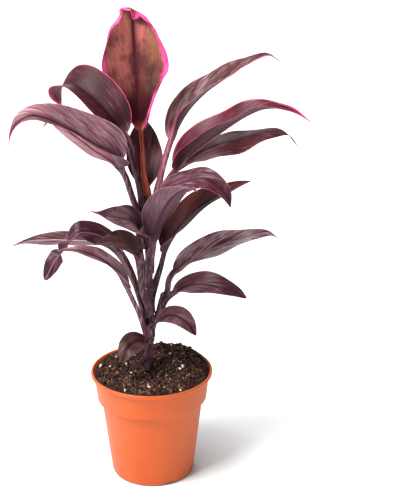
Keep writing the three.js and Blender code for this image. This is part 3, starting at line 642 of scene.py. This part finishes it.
# A whole leaf: cross-sections carried along the midrib's line, from its sheath on the stem, up the
# channelled stalk and along the blade. Gives the upper and lower face as grids of points. place is
# each point's distance across, along and in from the margin; part is its share of the blade's
# length, 1 on the upper face, and its share of stalk
def leafGrid(leaf):
    size = leafShape
    heading = math.radians(leaf["foot"][1])
    outward = np.array([math.cos(heading), math.sin(heading), 0])
    stem = leaf.get("stem", mainCane)
    low, high = (stemAt(stem, leaf["foot"][0] + rise) for rise in (0, size["sheathRise"]))
    seat = low[2] + size["seatGap"]
    start = np.array([low[0], low[1], leaf["foot"][0]]) + outward * seat
    leaning = outward * (seat + size["sheathLean"])
    second = np.array([high[0], high[1], leaf["foot"][0] + size["sheathRise"]]) + leaning
    line, direction, length = lineThrough(np.vstack([start, second, leaf["midrib"]]))
    stalk, whole = leaf["stalk"], length[-1]

    up = np.concatenate([np.arange(size["stalkRows"]) / size["stalkRows"], np.ones(size["bladeRows"] + 1)])
    # t is 0 on the stalk and runs to 1 on the blade, in rows that stand closer at its foot and tip
    even = np.linspace(0, 1, size["bladeRows"] + 1)
    t = np.concatenate([np.zeros(size["stalkRows"]), 0.5 * even + 0.25 * (1 - np.cos(np.pi * even))])
    along = stalk * up + (whole - stalk) * t
    centre = np.stack([np.interp(along, length, line[:, i]) for i in range(3)], axis=-1)
    tangent = np.stack([np.interp(along, length, direction[:, i]) for i in range(3)], axis=-1)
    tangent /= np.linalg.norm(tangent, axis=1)[:, None]
    bladeFoot = [np.interp(stalk, length, line[:, i]) for i in range(2)]
    turn = math.atan2(line[-1, 1] - bladeFoot[1], line[-1, 0] - bladeFoot[0]) - heading
    turn = (turn + math.pi) % (2 * math.pi) - math.pi

    # the stalk turns from the stem's heading to the blade's as it rises
    swing = ease(up, 0, 1)
    facing = heading + turn * swing
    left = np.stack([-np.sin(facing), np.cos(facing), 0 * facing], axis=-1)
    left -= tangent * np.sum(left * tangent, axis=1)[:, None]
    left /= np.linalg.norm(left, axis=1)[:, None]
    roll = (np.radians(keyed(leaf["roll"], t)) * swing)[:, None]
    left = left * np.cos(roll) + np.cross(tangent, left) * np.sin(roll)
    face = np.cross(tangent, left)

    opening = ease(t, 0, size["bladeOpens"])
    narrowing = ease(up, *size["sheathNarrows"])
    sheathWidth = seat * math.radians(size["sheathAngle"])
    stalkWidth = sheathWidth + (leaf.get("stalkHalfWidth", size["stalkHalfWidth"]) - sheathWidth) * narrowing
    stalkCurl = size["sheathAngle"] + (size["stalkCurl"] - size["sheathAngle"]) * up
    foot, tip = leaf["full"]
    widest = foot / (foot + tip)
    outline = (t / widest) ** foot * ((1 - t) / (1 - widest)) ** tip
    half = (np.hypot(leaf["halfWidth"] * outline, stalkWidth * (1 - t)) + size["tipHalfWidth"] * t)[:, None]
    fold = (np.radians(keyed(leaf["fold"], t)) * opening)[:, None]
    curl = np.radians(stalkCurl + (keyed(leaf["curl"], t) - stalkCurl) * opening)[:, None]
    columns = leaf.get("halfColumns", size["halfColumns"])
    reach = 0.5 * (1 - np.cos(np.pi * np.linspace(0, 1, columns))) + 0 * half
    row, inMm, opening = t[:, None], along[:, None] - stalk, opening[:, None]

    # each half in turn, lifted by the wave of its margin, pleats, dents and the groove
    halves = []
    for side, rollKeys in zip((1, -1), leaf.get("edgeRoll", ((0, 0, 0), (0, 0, 0)))):
        edgeRoll = np.radians(keyed(rollKeys, t))[:, None] * opening
        out, rise, angle = halfSection(half, fold, curl, edgeRoll, reach)
        across = reach * half
        count, height, phase = leaf["wave"]
        ripple = np.sin(2 * np.pi * count * row + phase + side * size["rippleLag"])
        lift = height * np.sin(np.pi * row) * reach ** 2 * ripple
        calm = opening * np.sqrt(np.sin(np.pi * np.clip(row, 0, 1)) * np.sin(np.pi * reach))
        pleats = np.sin(2 * np.pi * (across - size["veinLean"] * inMm) / size["pleatSpacing"])
        lift = lift + size["pleatHeight"] * pleats * calm
        uneven = softNoise(inMm + 0 * across, side * across + 90, size["unevenSpacing"], leaf["seed"])
        offRib = ease(across, *size["unevenOffRib"])
        lift = lift + size["unevenness"] * uneven * opening * offRib * (1 - row ** 4)
        groove = np.exp(-(across / size["grooveWidth"]) ** 2)
        lift = lift - size["grooveDepth"] * opening * (1 - row) ** 0.6 * groove
        keel = size["keelDepth"] * (1 - row) * np.exp(-(across / size["keelWidth"]) ** 2)
        thin = size["marginThickness"] + size["bladeThickness"] * (1 - reach) + keel
        thick = size["marginThickness"] + size["stalkThickness"] * (1 - reach ** 2)
        thickness = thin * opening + thick * (1 - opening)
        normal = np.stack([-side * np.sin(angle), np.cos(angle)], axis=-1)
        normal[:, 0] = (0, 1)
        halves.append((side * out, rise, lift, normal, thickness, side * across, half * (1 - reach)))

    joined = [np.hstack([leftPart[:, ::-1], rightPart[:, 1:]]) for leftPart, rightPart in zip(*halves)]
    sideways, rise, lift, normal, thickness, across, fromEdge = joined
    away = normal[..., :1] * left[:, None] + normal[..., 1:] * face[:, None]
    upper = centre[:, None] + sideways[..., None] * left[:, None] + rise[..., None] * face[:, None]
    upper = upper + lift[..., None] * away
    lower = upper - thickness[..., None] * away
    place = np.stack([across, inMm + 0 * across, fromEdge], axis=-1)
    stalkShare = 1 - ease(row, 0, size["stalkFades"])
    part = np.stack([row + 0 * across, 1 + 0 * across, stalkShare + 0 * across], axis=-1)
    return upper, lower, place, part


# Faces of a closed sheet: a grid of quads above, the same turned over below, and strips round the edge
def sheetFaces(rows, columns):
    row, column = np.meshgrid(np.arange(rows - 1), np.arange(columns - 1), indexing="ij")
    a = (row * columns + column).ravel()
    under = rows * columns
    above = np.stack([a, a + 1, a + columns + 1, a + columns], axis=-1)
    below = np.stack([a, a + columns, a + columns + 1, a + 1], axis=-1) + under
    first = np.arange(rows - 1) * columns
    last = first + columns - 1
    leftEdge = np.stack([first, first + columns, under + first + columns, under + first], axis=-1)
    rightEdge = np.stack([last, under + last, under + last + columns, last + columns], axis=-1)
    foot = np.arange(columns - 1)
    tip = foot + (rows - 1) * columns
    footEdge = np.stack([foot, under + foot, under + foot + 1, foot + 1], axis=-1)
    tipEdge = np.stack([tip, tip + 1, under + tip + 1, under + tip], axis=-1)
    return np.vstack([above, below, leftEdge, rightEdge, footEdge, tipEdge]).tolist()


# Living ti leaf: tough and waxy, dark pigment under a clear cuticle, fine veins slanting off the
# midrib, a pink margin. The eye gets soft sheen along the veins, from the bump and roughness and from
# a painted highlight in pale vein colour, and streaks of lighter colour
def waxyTiLeaf(name, look):
    material, tree, shader = newMaterial(name, IOR=1.4, Specular_IOR_Level=0.28)
    place = addNode(tree, "Attribute", attribute_name="bladePlace").outputs["Vector"]
    part = addNode(tree, "Attribute", attribute_name="bladePart").outputs["Vector"]
    across, along, fromEdge = addNode(tree, "SeparateXYZ", place).outputs
    t, upperSide, stalkShare = addNode(tree, "SeparateXYZ", part).outputs
    reach = addNode(tree, "Math", across, operation="ABSOLUTE")
    onLeft = addNode(tree, "Math", across, 0, operation="GREATER_THAN")
    vein = addNode(tree, "Math", along, -leafShape["veinLean"], reach, operation="MULTIPLY_ADD")
    lengthwise = addNode(tree, "Math", along, 0.06, operation="MULTIPLY")
    apart = addNode(tree, "Math", onLeft, 90, look["seed"], operation="MULTIPLY_ADD")
    veinPlace = addNode(tree, "CombineXYZ", vein, lengthwise, apart)
    # veins 1 mm apart, drawn 1 to 3 mm apart and 17 times as long as wide, in clouds of 18 mm
    streak = addNode(tree, "TexNoise", veinPlace, 0.42 * look["streakScale"], 3)
    fine = addNode(tree, "TexNoise", veinPlace, 1.1, 2)
    cloud = addNode(tree, "TexNoise", addNode(tree, "CombineXYZ", across, along, look["seed"]), 0.055, 2)

    # where each colour lies on the upper face, laid on in turn over the blade's own
    streaky = addNode(tree, "MapRange", streak, 0.42, 0.62, 0, look["streakShare"])
    # painted highlight: the pale vein colour, partly the veins' own paler tone and partly painted sheen
    # along them
    veins = addNode(tree, "MapRange", fine, 0.52, 0.7, 0, look["veinSheenShare"])
    cloudy = addNode(tree, "MapRange", cloud, 0.44, 0.6, 0, look["shadeShare"])
    # painted shade: the blade darkens towards its foot, low among the other leaves
    atFoot = addNode(tree, "MapRange", t, look["footReach"], look["footReach"] * 0.3, 0, look["footShade"])
    # painted shade: darker along the midrib, in the crease of the folded blade
    ribCreaseShade = addNode(tree, "MapRange", reach, look["ribShadeWidth"], 0, 0, look["ribShade"])
    onRib = addNode(tree, "MapRange", reach, look["ribWidth"], look["ribWidth"] * 0.35)
    upper = linear(look["blade"])
    for share, colour in ((streaky, "streak"), (veins, "vein"), (cloudy, "shade"), (atFoot, "shade"),
                          (ribCreaseShade, "shade"), (onRib, "rib")):
        upper = addNode(tree, "Mix", share, upper, linear(look[colour]), data_type="RGBA")
    # and on the lower face
    streaky = addNode(tree, "MapRange", fine, 0.4, 0.65)
    # on the lower face the foot takes the underFoot colour, darker as painted shade on most leaves
    atFoot = addNode(tree, "MapRange", t, look["footReach"], 0)
    onKeel = addNode(tree, "MapRange", reach, 1.7, 0.9)
    under = linear(look["under"])
    for share, colour in ((streaky, "underStreak"), (atFoot, "underFoot"), (onKeel, "keel")):
        under = addNode(tree, "Mix", share, under, linear(look[colour]), data_type="RGBA")
    shown = addNode(tree, "Mix", upperSide, under, upper, data_type="RGBA")
    # painted shade: the half of the blade turned from the light is darkened by its share of the shade
    # colour, on either face
    paintedHalfShade = addNode(tree, "Mix", onLeft, look["halfShade"][1], look["halfShade"][0])
    shown = addNode(tree, "Mix", paintedHalfShade, shown, linear(look["shade"]), data_type="RGBA")

    # the pink margin's width differs by side, wanders, and grows towards the tip
    width = addNode(tree, "Mix", onLeft, look["edgeWidth"][1], look["edgeWidth"][0])
    growth = addNode(tree, "MapRange", t, 0.7, 0.97, 1, look["tipEdge"])
    wander = addNode(tree, "TexNoise", addNode(tree, "CombineXYZ", along, apart, 3), 0.11, 2)
    wander = addNode(tree, "MapRange", wander, 0.25, 0.75, 0.55, 1.45)
    width = addNode(tree, "Math", width, growth, operation="MULTIPLY")
    width = addNode(tree, "Math", width, wander, operation="MULTIPLY")
    pink = addNode(tree, "MapRange", addNode(tree, "Math", fromEdge, width, operation="DIVIDE"),
                   1, 0.5, 0, look["edgeShare"])
    edge = addNode(tree, "Mix", addNode(tree, "MapRange", fine, 0.35, 0.7),
                   linear(look["edge"]), linear(look["edgePale"]), data_type="RGBA")
    shown = addNode(tree, "Mix", pink, shown, edge, data_type="RGBA")
    # the stalk: dark, with pale streaks that are partly its own fine lines and partly painted highlight
    stalk = addNode(tree, "Mix", addNode(tree, "MapRange", fine, 0.5, 0.72),
                    linear(look["stalk"]), linear(look["stalkPale"]), data_type="RGBA")
    shown = addNode(tree, "Mix", stalkShare, shown, stalk, data_type="RGBA")

    # the lower face is rougher by 0.12
    gloss = addNode(tree, "MapRange", fine, 0.3, 0.7, look["roughness"] - 0.07, look["roughness"] + 0.1)
    rough = addNode(tree, "Math", upperSide, -0.12, addNode(tree, "Math", gloss, 0.12, operation="ADD"),
                    operation="MULTIPLY_ADD")
    dress(tree, shader, shown, addNode(tree, "Bump", 0.6, 0.0005, 1, fine), rough)
    return material


# Looks that the leaves share, each leaf changing what differs. In them the vein colour is partly
# painted highlight, and halfShade, footShade and ribShade are shares of painted shade
purple = dict(
    blade="#4a1a26", streak="#632b37", streakScale=1, streakShare=0.9, vein="#8a5763", veinSheenShare=0.7,
    shade="#230a12", shadeShare=0.6, halfShade=(0, 0), footShade=0.5, footReach=0.4,
    ribShade=0.5, ribShadeWidth=4, rib="#230a12", ribWidth=1.1,
    under="#5c2c39", underStreak="#7a4757", underFoot="#45202b", keel="#7f4c5b",
    edge="#7a3348", edgePale="#a06074", edgeWidth=(0.8, 0.8), edgeShare=0.6, tipEdge=1.2,
    stalk="#45282f", stalkPale="#8c6a76", roughness=0.4)
mauve = purple | dict(
    blade="#80485a", streak="#9a6879", vein="#c09aa8", shade="#451726", rib="#3a1120",
    under="#7a4a5a", underStreak="#96687a", edge="#b0486e", edgePale="#cf8aa0",
    stalk="#563040", stalkPale="#a07c8a")
olive = purple | dict(
    blade="#5c2a2c", streak="#784c42", vein="#a07872", shade="#35101a", rib="#8a3050", ribWidth=0.8,
    edge="#c02c62", edgePale="#cf6488", edgeShare=0.9, stalk="#8c4058", stalkPale="#bd7a8c")


def growLeaf(name, leaf):
    upper, lower, place, part = leafGrid(leaf)
    rows, columns = upper.shape[:2]
    place, part = place.reshape(-1, 3), part.reshape(-1, 3)
    values = {"bladePlace": np.vstack([place, place]), "bladePart": np.vstack([part, part * (1, 0, 1)])}
    points = np.vstack([upper.reshape(-1, 3), lower.reshape(-1, 3)])
    material = waxyTiLeaf(name + "Skin", leaf["look"] | {"seed": leaf["seed"]})
    settle(meshObject(name, points, sheetFaces(rows, columns), values, material), leaf["slot"], leaf["node"])


# In each leaf, foot is its height on the stem and its heading in degrees, midrib the points that its
# midrib runs through above the sheath, and stalk how far from the foot, along it, the blade starts.
# full holds the powers in the blade's outline t^foot (1-t)^tip. roll, fold, curl and edgeRoll are
# degrees from the blade's foot to its tip. wave is how many waves its margin has, their height and
# where they start
crownLeaf = dict(
    node="leaf_crown", slot="leaf_bronze", foot=(276, 70), seed=101,
    midrib=[(-5, 13, 304), (-6, 18, 323), (-8, 24, 348), (-10, 31, 374),
            (-12, 37, 400), (-14, 43, 427), (-15, 46, 446), (-16, 43, 456), (-16, 37, 455)],
    stalk=72, halfWidth=34, full=(0.75, 0.58), roll=(-32, -32, -32), fold=(35, 10, 15), curl=(25, 25, 60),
    edgeRoll=((60, 0, 0, 70, 150), (150, 130, 0, 20, 150)), wave=(2, 1.5, 0), halfColumns=40,
    stalkHalfWidth=1.7, look=purple | dict(
        blade="#cc7068", streak="#a87050", streakScale=0.2, vein="#ecc0ac", veinSheenShare=0.4,
        shade="#341016", shadeShare=0.7, halfShade=(0, 0.35), footShade=1,
        footReach=0.8, ribShade=0.8, ribShadeWidth=8, rib="#4a1420", ribWidth=2.4, under="#9a5c3c",
        underStreak="#6a3a2a", underFoot="#a8504a", keel="#a8604c", edge="#d42c7c", edgePale="#ec6ca8",
        edgeWidth=(5, 7.5), edgeShare=1, tipEdge=1.4, stalk="#8c3c34", stalkPale="#cf7a58"))
growLeaf("crownLeaf", crownLeaf)

backLeaf = dict(
    node="leaf_back", slot="leaf_purple", foot=(262, 125), seed=102,
    midrib=[(-5, 14, 290), (-5, 23, 307), (-6, 33, 324), (-7, 44, 340), (-9, 54, 353)],
    stalk=30, halfWidth=18, full=(0.8, 1.1), roll=(0, 0, 0), fold=(20, 8, 10), curl=(20, 20, 10),
    wave=(2, 1, 1), look=purple | dict(blade="#4a1e28", streak="#5c323a", edge="#c23a66"))
growLeaf("backLeaf", backLeaf)

upperLeftLeaf = dict(
    node="leaf_upper_left", slot="leaf_purple", foot=(268, 215), seed=103,
    midrib=[(-9, -4, 294), (-14, -2, 319), (-19, 1, 341), (-26, 3, 353), (-35, 5, 365), (-45, 9, 375),
            (-55, 14, 383), (-64, 20, 388), (-73, 27, 389), (-81, 35, 385), (-85, 41, 377), (-84, 45, 365)],
    stalk=82, halfWidth=24, full=(0.5, 0.72), roll=(-17, -22, -10), fold=(28, 28, 12), curl=(10, 8, 10),
    wave=(2, 1.5, 1), look=purple | dict(
        blade="#441020", streak="#3a2022", vein="#8a5664", veinSheenShare=0.5, edge="#c8205a", edgePale="#de5a84",
        edgeShare=0.9, tipEdge=5, roughness=0.5))
growLeaf("upperLeftLeaf", upperLeftLeaf)

leftLongLeaf = dict(
    node="leaf_left_long", slot="leaf_mauve", foot=(250, 215), seed=104,
    midrib=[(-15, -13, 290), (-21, -20, 313), (-26, -27, 330), (-33, -32, 340), (-44, -38, 348),
            (-58, -45, 359), (-72, -51, 369), (-87, -57, 378), (-98, -60, 381), (-108, -62, 378),
            (-115, -64, 369), (-119, -66, 355)],
    stalk=84, halfWidth=27, full=(0.36, 1.3), roll=(-26, -30, -10), fold=(30, 24, 10), curl=(5, 5, 0),
    wave=(2, 1.5, 1), look=mauve | dict(
        blade="#80505c", streak="#a88490", vein="#c8acb4", halfShade=(0.75, 0), footShade=0, ribShade=0.95,
        ribShadeWidth=5, shadeShare=0.2, edge="#d0507e", edgePale="#e0a0b4", tipEdge=1.8))
growLeaf("leftLongLeaf", leftLongLeaf)

leftUnderLeaf = dict(
    node="leaf_left_under", slot="leaf_purple", foot=(236, 165), seed=105,
    midrib=[(-12, 3, 270), (-18, 5, 290), (-24, 8, 307), (-33, 12, 317), (-48, 18, 325),
            (-66, 26, 336), (-83, 34, 346), (-95, 40, 350), (-102, 44, 343)],
    stalk=78, halfWidth=18, full=(0.6, 1.1), roll=(-5, -5, 0), fold=(15, 8, 10), curl=(15, 5, 5),
    wave=(2, 1, 1), look=mauve | dict(
        blade="#a06c7a", streak="#b48c94", vein="#cbb0b4", shadeShare=0.3, footShade=0.2, edgeShare=0.3))
growLeaf("leftUnderLeaf", leftUnderLeaf)

upperRightLeaf = dict(
    node="leaf_upper_right", slot="leaf_olive", foot=(254, 40), seed=106,
    midrib=[(9, 10, 295), (15, 14, 319), (24, 18, 345), (35, 26, 363), (51, 36, 378),
            (72, 46, 391), (93, 56, 402), (112, 62, 409), (125, 68, 401)],
    stalk=88, halfWidth=17, full=(0.45, 1), roll=(5, 3, 5), fold=(40, 28, 10), curl=(40, 0, 0),
    wave=(3, 1.5, 1), look=olive | dict(
        blade="#502428", streak="#725458", vein="#b8a4a4", under="#4a2530", underStreak="#8a5a68",
        edge="#c03468", edgePale="#d88098", edgeWidth=(0.5, 2.4), stalk="#8c5060", stalkPale="#c08c9a"))
growLeaf("upperRightLeaf", upperRightLeaf)

rightLongLeaf = dict(
    node="leaf_right_long", slot="leaf_olive", foot=(240, 350), seed=107,
    midrib=[(8, -2, 273), (13, -4, 289), (18, -6, 302), (24, -8, 315), (35, -10, 328), (47, -12, 339),
            (67, -16, 355), (89, -21, 371), (106, -26, 379), (127, -31, 379), (146, -34, 369)],
    stalk=82, halfWidth=21.5, full=(0.36, 1.15), roll=(14, 11, 6), fold=(38, 36, 10), curl=(20, 0, 0),
    wave=(3, 1.5, 2), look=olive | dict(
        blade="#461020", streak="#582030", vein="#8a4458", under="#300a18", underStreak="#561c30",
        edge="#c01c54", edgePale="#cc5c80", edgeWidth=(1.3, 0.6), tipEdge=4, stalk="#5c2a38",
        stalkPale="#a0606e"))
growLeaf("rightLongLeaf", rightLongLeaf)

rightBackLeaf = dict(
    node="leaf_right_back", slot="leaf_olive", foot=(222, 70), seed=108,
    midrib=[(5, 12, 262), (11, 17, 284), (18, 22, 297), (28, 28, 308), (46, 36, 319),
            (68, 46, 326), (91, 58, 330), (114, 68, 333), (132, 76, 329), (146, 82, 312)],
    stalk=94, halfWidth=19, full=(0.5, 1.1), roll=(15, 15, 5), fold=(10, -12, -5), curl=(10, 0, 0),
    wave=(3, 1.5, 4), look=olive | dict(
        blade="#521a24", streak="#6c323c", rib="#35101a", edgeWidth=(0.5, 0.6), edgeShare=0.5,
        roughness=0.52))
growLeaf("rightBackLeaf", rightBackLeaf)

rightDroopingLeaf = dict(
    node="leaf_right_drooping", slot="leaf_mauve", foot=(226, 330), seed=109,
    midrib=[(6, -12, 258), (9, -17, 278), (13, -23, 294), (20, -28, 305), (33, -34, 313),
            (49, -40, 318), (61, -45, 315), (70, -49, 307), (75, -51, 294)],
    stalk=72, halfWidth=18, full=(0.5, 0.9), roll=(20, 20, 10), fold=(20, -5, 5), curl=(10, 5, 10),
    wave=(2, 1.5, 1), look=mauve | dict(
        blade="#4a202e", streak="#644450", vein="#a8909a", shadeShare=0.8, ribShade=0.4, edge="#8a3a54",
        edgeWidth=(0.6, 0.8), edgeShare=0.6))
growLeaf("rightDroopingLeaf", rightDroopingLeaf)

frontLeaf = dict(
    node="leaf_front", slot="leaf_mauve", foot=(212, 290), seed=110,
    midrib=[(2, -18, 238), (6, -29, 258), (10, -41, 277), (15, -50, 292),
            (22, -58, 305), (31, -67, 315), (39, -74, 319), (45, -78, 318)],
    stalk=48, halfWidth=17, full=(0.5, 0.8), roll=(-12, -26, -10), fold=(35, 22, 10), curl=(20, 10, 10),
    wave=(2, 1, 1), look=mauve | dict(
        # painted shade: its lower face turns dark towards the foot and along the keel, where the blade
        # arching over shades it
        under="#64404e", underStreak="#8a6474", underFoot="#2c141e", keel="#3c1e2a", footReach=0.8,
        halfShade=(0.5, 0), ribShadeWidth=6, edge="#a86a80", edgePale="#d8b8c4", edgeWidth=(0.5, 0.5)))
growLeaf("frontLeaf", frontLeaf)

rightDarkLeaf = dict(
    node="leaf_right_dark", slot="leaf_purple", foot=(168, 80), seed=111,
    midrib=[(6, 7, 200), (10, 5, 214), (15, 3, 234), (26, 1, 254),
            (40, -4, 273), (59, -8, 288), (77, -12, 299), (94, -16, 308)],
    stalk=66, halfWidth=24, full=(0.45, 0.9), roll=(20, 20, 10), fold=(20, 8, 10), curl=(15, 10, 10),
    wave=(2, 1.5, 1), look=purple | dict(
        blade="#4c1214", streak="#5c241c", vein="#80464a", veinSheenShare=0.4, shade="#2a0a0c", shadeShare=0.4,
        edgeShare=0.2, roughness=0.5))
growLeaf("rightDarkLeaf", rightDarkLeaf)

leftPinkTipLeaf = dict(
    node="leaf_left_pink_tip", slot="leaf_purple", foot=(198, 240), seed=112,
    midrib=[(-8, -11, 226), (-9, -15, 243), (-10, -22, 259), (-14, -31, 273), (-22, -41, 280),
            (-32, -52, 286), (-41, -63, 292), (-49, -72, 298)],
    stalk=64, halfWidth=18, full=(0.22, 1.3), roll=(-40, -45, -30), fold=(20, 0, 10), curl=(10, 5, 5),
    wave=(2, 1, 1), look=purple | dict(
        blade="#6c4a54", streak="#8c7078", vein="#a88c94", ribShade=0.1, rib="#5a3a42", footShade=0.1,
        edge="#c8406e", edgePale="#d880a0", edgeWidth=(0.5, 0.5), tipEdge=6))
growLeaf("leftPinkTipLeaf", leftPinkTipLeaf)

lowLeftFrontLeaf = dict(
    node="leaf_low_left_front", slot="leaf_mauve", foot=(138, 195), seed=113,
    midrib=[(-12, -8, 174), (-17, -11, 188), (-23, -15, 204), (-30, -20, 220), (-40, -26, 232),
            (-51, -32, 241), (-66, -37, 248), (-83, -41, 249)],
    stalk=66, halfWidth=12, full=(0.45, 0.9), roll=(-15, -25, -10), fold=(25, 15, 10), curl=(10, 5, 5),
    wave=(2, 1, 1), look=mauve | dict(
        blade="#946874", streak="#b08c94", halfShade=(0.5, 0), ribShade=0.7, footShade=0.2,
        edge="#7a3c50", edgeShare=0.4))
growLeaf("lowLeftFrontLeaf", lowLeftFrontLeaf)

lowLeftArchedLeaf = dict(
    node="leaf_low_left_arched", slot="leaf_purple", foot=(150, 155), seed=114,
    midrib=[(-13, 3, 190), (-20, 6, 212), (-30, 8, 230), (-42, 7, 243), (-54, 3, 250),
            (-66, -4, 253), (-75, -9, 247), (-82, -12, 238), (-91, -15, 226), (-99, -17, 210)],
    stalk=90, halfWidth=12, full=(0.4, 0.6), roll=(-40, -45, -45, -40, 0, 50, -30, -60, -60),
    fold=(10, 8, 10), curl=(10, 5, 5),
    wave=(2, 1, 1), look=purple | dict(
        blade="#381a26", streak="#523242", rib="#7c5c6c", ribWidth=0.7, edge="#6a4a58", edgeShare=0.3))
growLeaf("lowLeftArchedLeaf", lowLeftArchedLeaf)

lowLeftBackLeaf = dict(
    node="leaf_low_left_back", slot="leaf_purple", foot=(138, 100), seed=115,
    midrib=[(-7, 12, 170), (-16, 18, 191), (-26, 24, 211), (-38, 28, 225), (-55, 32, 231),
            (-75, 36, 231), (-98, 40, 230), (-120, 42, 228), (-139, 43, 222)],
    stalk=96, halfWidth=12, full=(0.5, 0.9), roll=(0, -20, -10), fold=(10, 8, 10), curl=(10, 5, 5),
    wave=(2, 1, 1), look=purple | dict(blade="#4c2832", streak="#6a444e", rib="#a08088", edgeShare=0.3))
growLeaf("lowLeftBackLeaf", lowLeftBackLeaf)

lowLeftNearLeaf = dict(
    node="leaf_low_left_near", slot="leaf_purple", foot=(166, 255), seed=116,
    midrib=[(-7, -17, 197), (-9, -26, 220), (-11, -36, 241), (-17, -44, 255),
            (-25, -54, 263), (-35, -65, 267), (-46, -76, 268)],
    stalk=80, halfWidth=17, full=(0.24, 1.2), roll=(-40, -45, -30), fold=(20, 5, 10), curl=(10, 5, 5),
    wave=(2, 1, 1), look=purple | dict(
        blade="#503236", streak="#685048", vein="#80665e", ribShade=0.1, rib="#4a2c32", footShade=0.1,
        edgeShare=0.3))
growLeaf("lowLeftNearLeaf", lowLeftNearLeaf)

# The long low leaf on the right: its pale streak and near-white vein colours are its own streaks with
# painted sheen on them, the white-pink glints near its foot
lowRightLongLeaf = dict(
    node="leaf_low_right_long", slot="leaf_mauve", stem=sideShoot, foot=(177, 30), seed=117,
    midrib=[(18, 5, 201), (22, 6, 208), (30, 8, 214), (46, 12, 223),
            (64, 17, 231), (83, 22, 236), (103, 26, 241), (115, 28, 241), (123, 29, 236)],
    stalk=36, halfWidth=16, full=(0.5, 0.9), roll=(20, 20, 10), fold=(30, 18, 5), curl=(20, 0, 0),
    wave=(2, 1.5, 1), look=mauve | dict(
        blade="#7c3c4a", streak="#dcbcc2", vein="#fff4f6", veinSheenShare=1, rib="#d8b4bc", footShade=0,
        shade="#6c3442", shadeShare=0.4, ribShade=0.2, under="#9a6672", underStreak="#c8a0a8",
        edge="#8a3a50", edgeShare=0.4, roughness=0.34))
growLeaf("lowRightLongLeaf", lowRightLongLeaf)

lowRightShortLeaf = dict(
    node="leaf_low_right_short", slot="leaf_purple", stem=sideShoot, foot=(164, 310), seed=118,
    midrib=[(17, -11, 189), (25, -16, 198), (36, -20, 206), (51, -28, 211),
            (66, -35, 211), (80, -40, 208), (91, -44, 203)],
    stalk=40, halfWidth=13, full=(0.6, 0.8), roll=(30, 30, 15), fold=(20, 8, 5), curl=(10, 5, 5),
    wave=(2, 1, 1), look=purple | dict(blade="#401e27", streak="#543039", edgeShare=0.4))
growLeaf("lowRightShortLeaf", lowRightShortLeaf)

smallRightLeaf = dict(
    node="leaf_small_right", slot="leaf_purple", foot=(146, 282), seed=119,
    midrib=[(7, -15, 168), (17, -19, 175), (27, -25, 177), (36, -31, 172), (44, -35, 161)],
    stalk=26, halfWidth=11, full=(0.5, 0.8), roll=(30, 30, 20), fold=(10, 3, 5), curl=(10, 5, 5),
    wave=(1, 1, 1), look=purple | dict(blade="#573640", streak="#6a4a52", edgeShare=0.4))
growLeaf("smallRightLeaf", smallRightLeaf)

smallLeftLeaf = dict(
    node="leaf_small_left", slot="leaf_mauve", foot=(121, 245), seed=120,
    midrib=[(-6, -11, 144), (-16, -20, 147), (-22, -28, 143), (-27, -34, 132)],
    stalk=22, halfWidth=11, full=(0.6, 0.8), roll=(-25, -30, -20), fold=(10, 8, 10), curl=(10, 5, 5),
    wave=(1, 1, 1), look=purple | dict(blade="#432a28", streak="#503834", vein="#6a5050", edgeShare=0.2))
growLeaf("smallLeftLeaf", smallLeftLeaf)
print("leaves are made")


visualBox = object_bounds()
({"cad": [list(map(float, corner)) for corner in cadBox],
           "visual": [list(map(float, corner)) for corner in visualBox]})
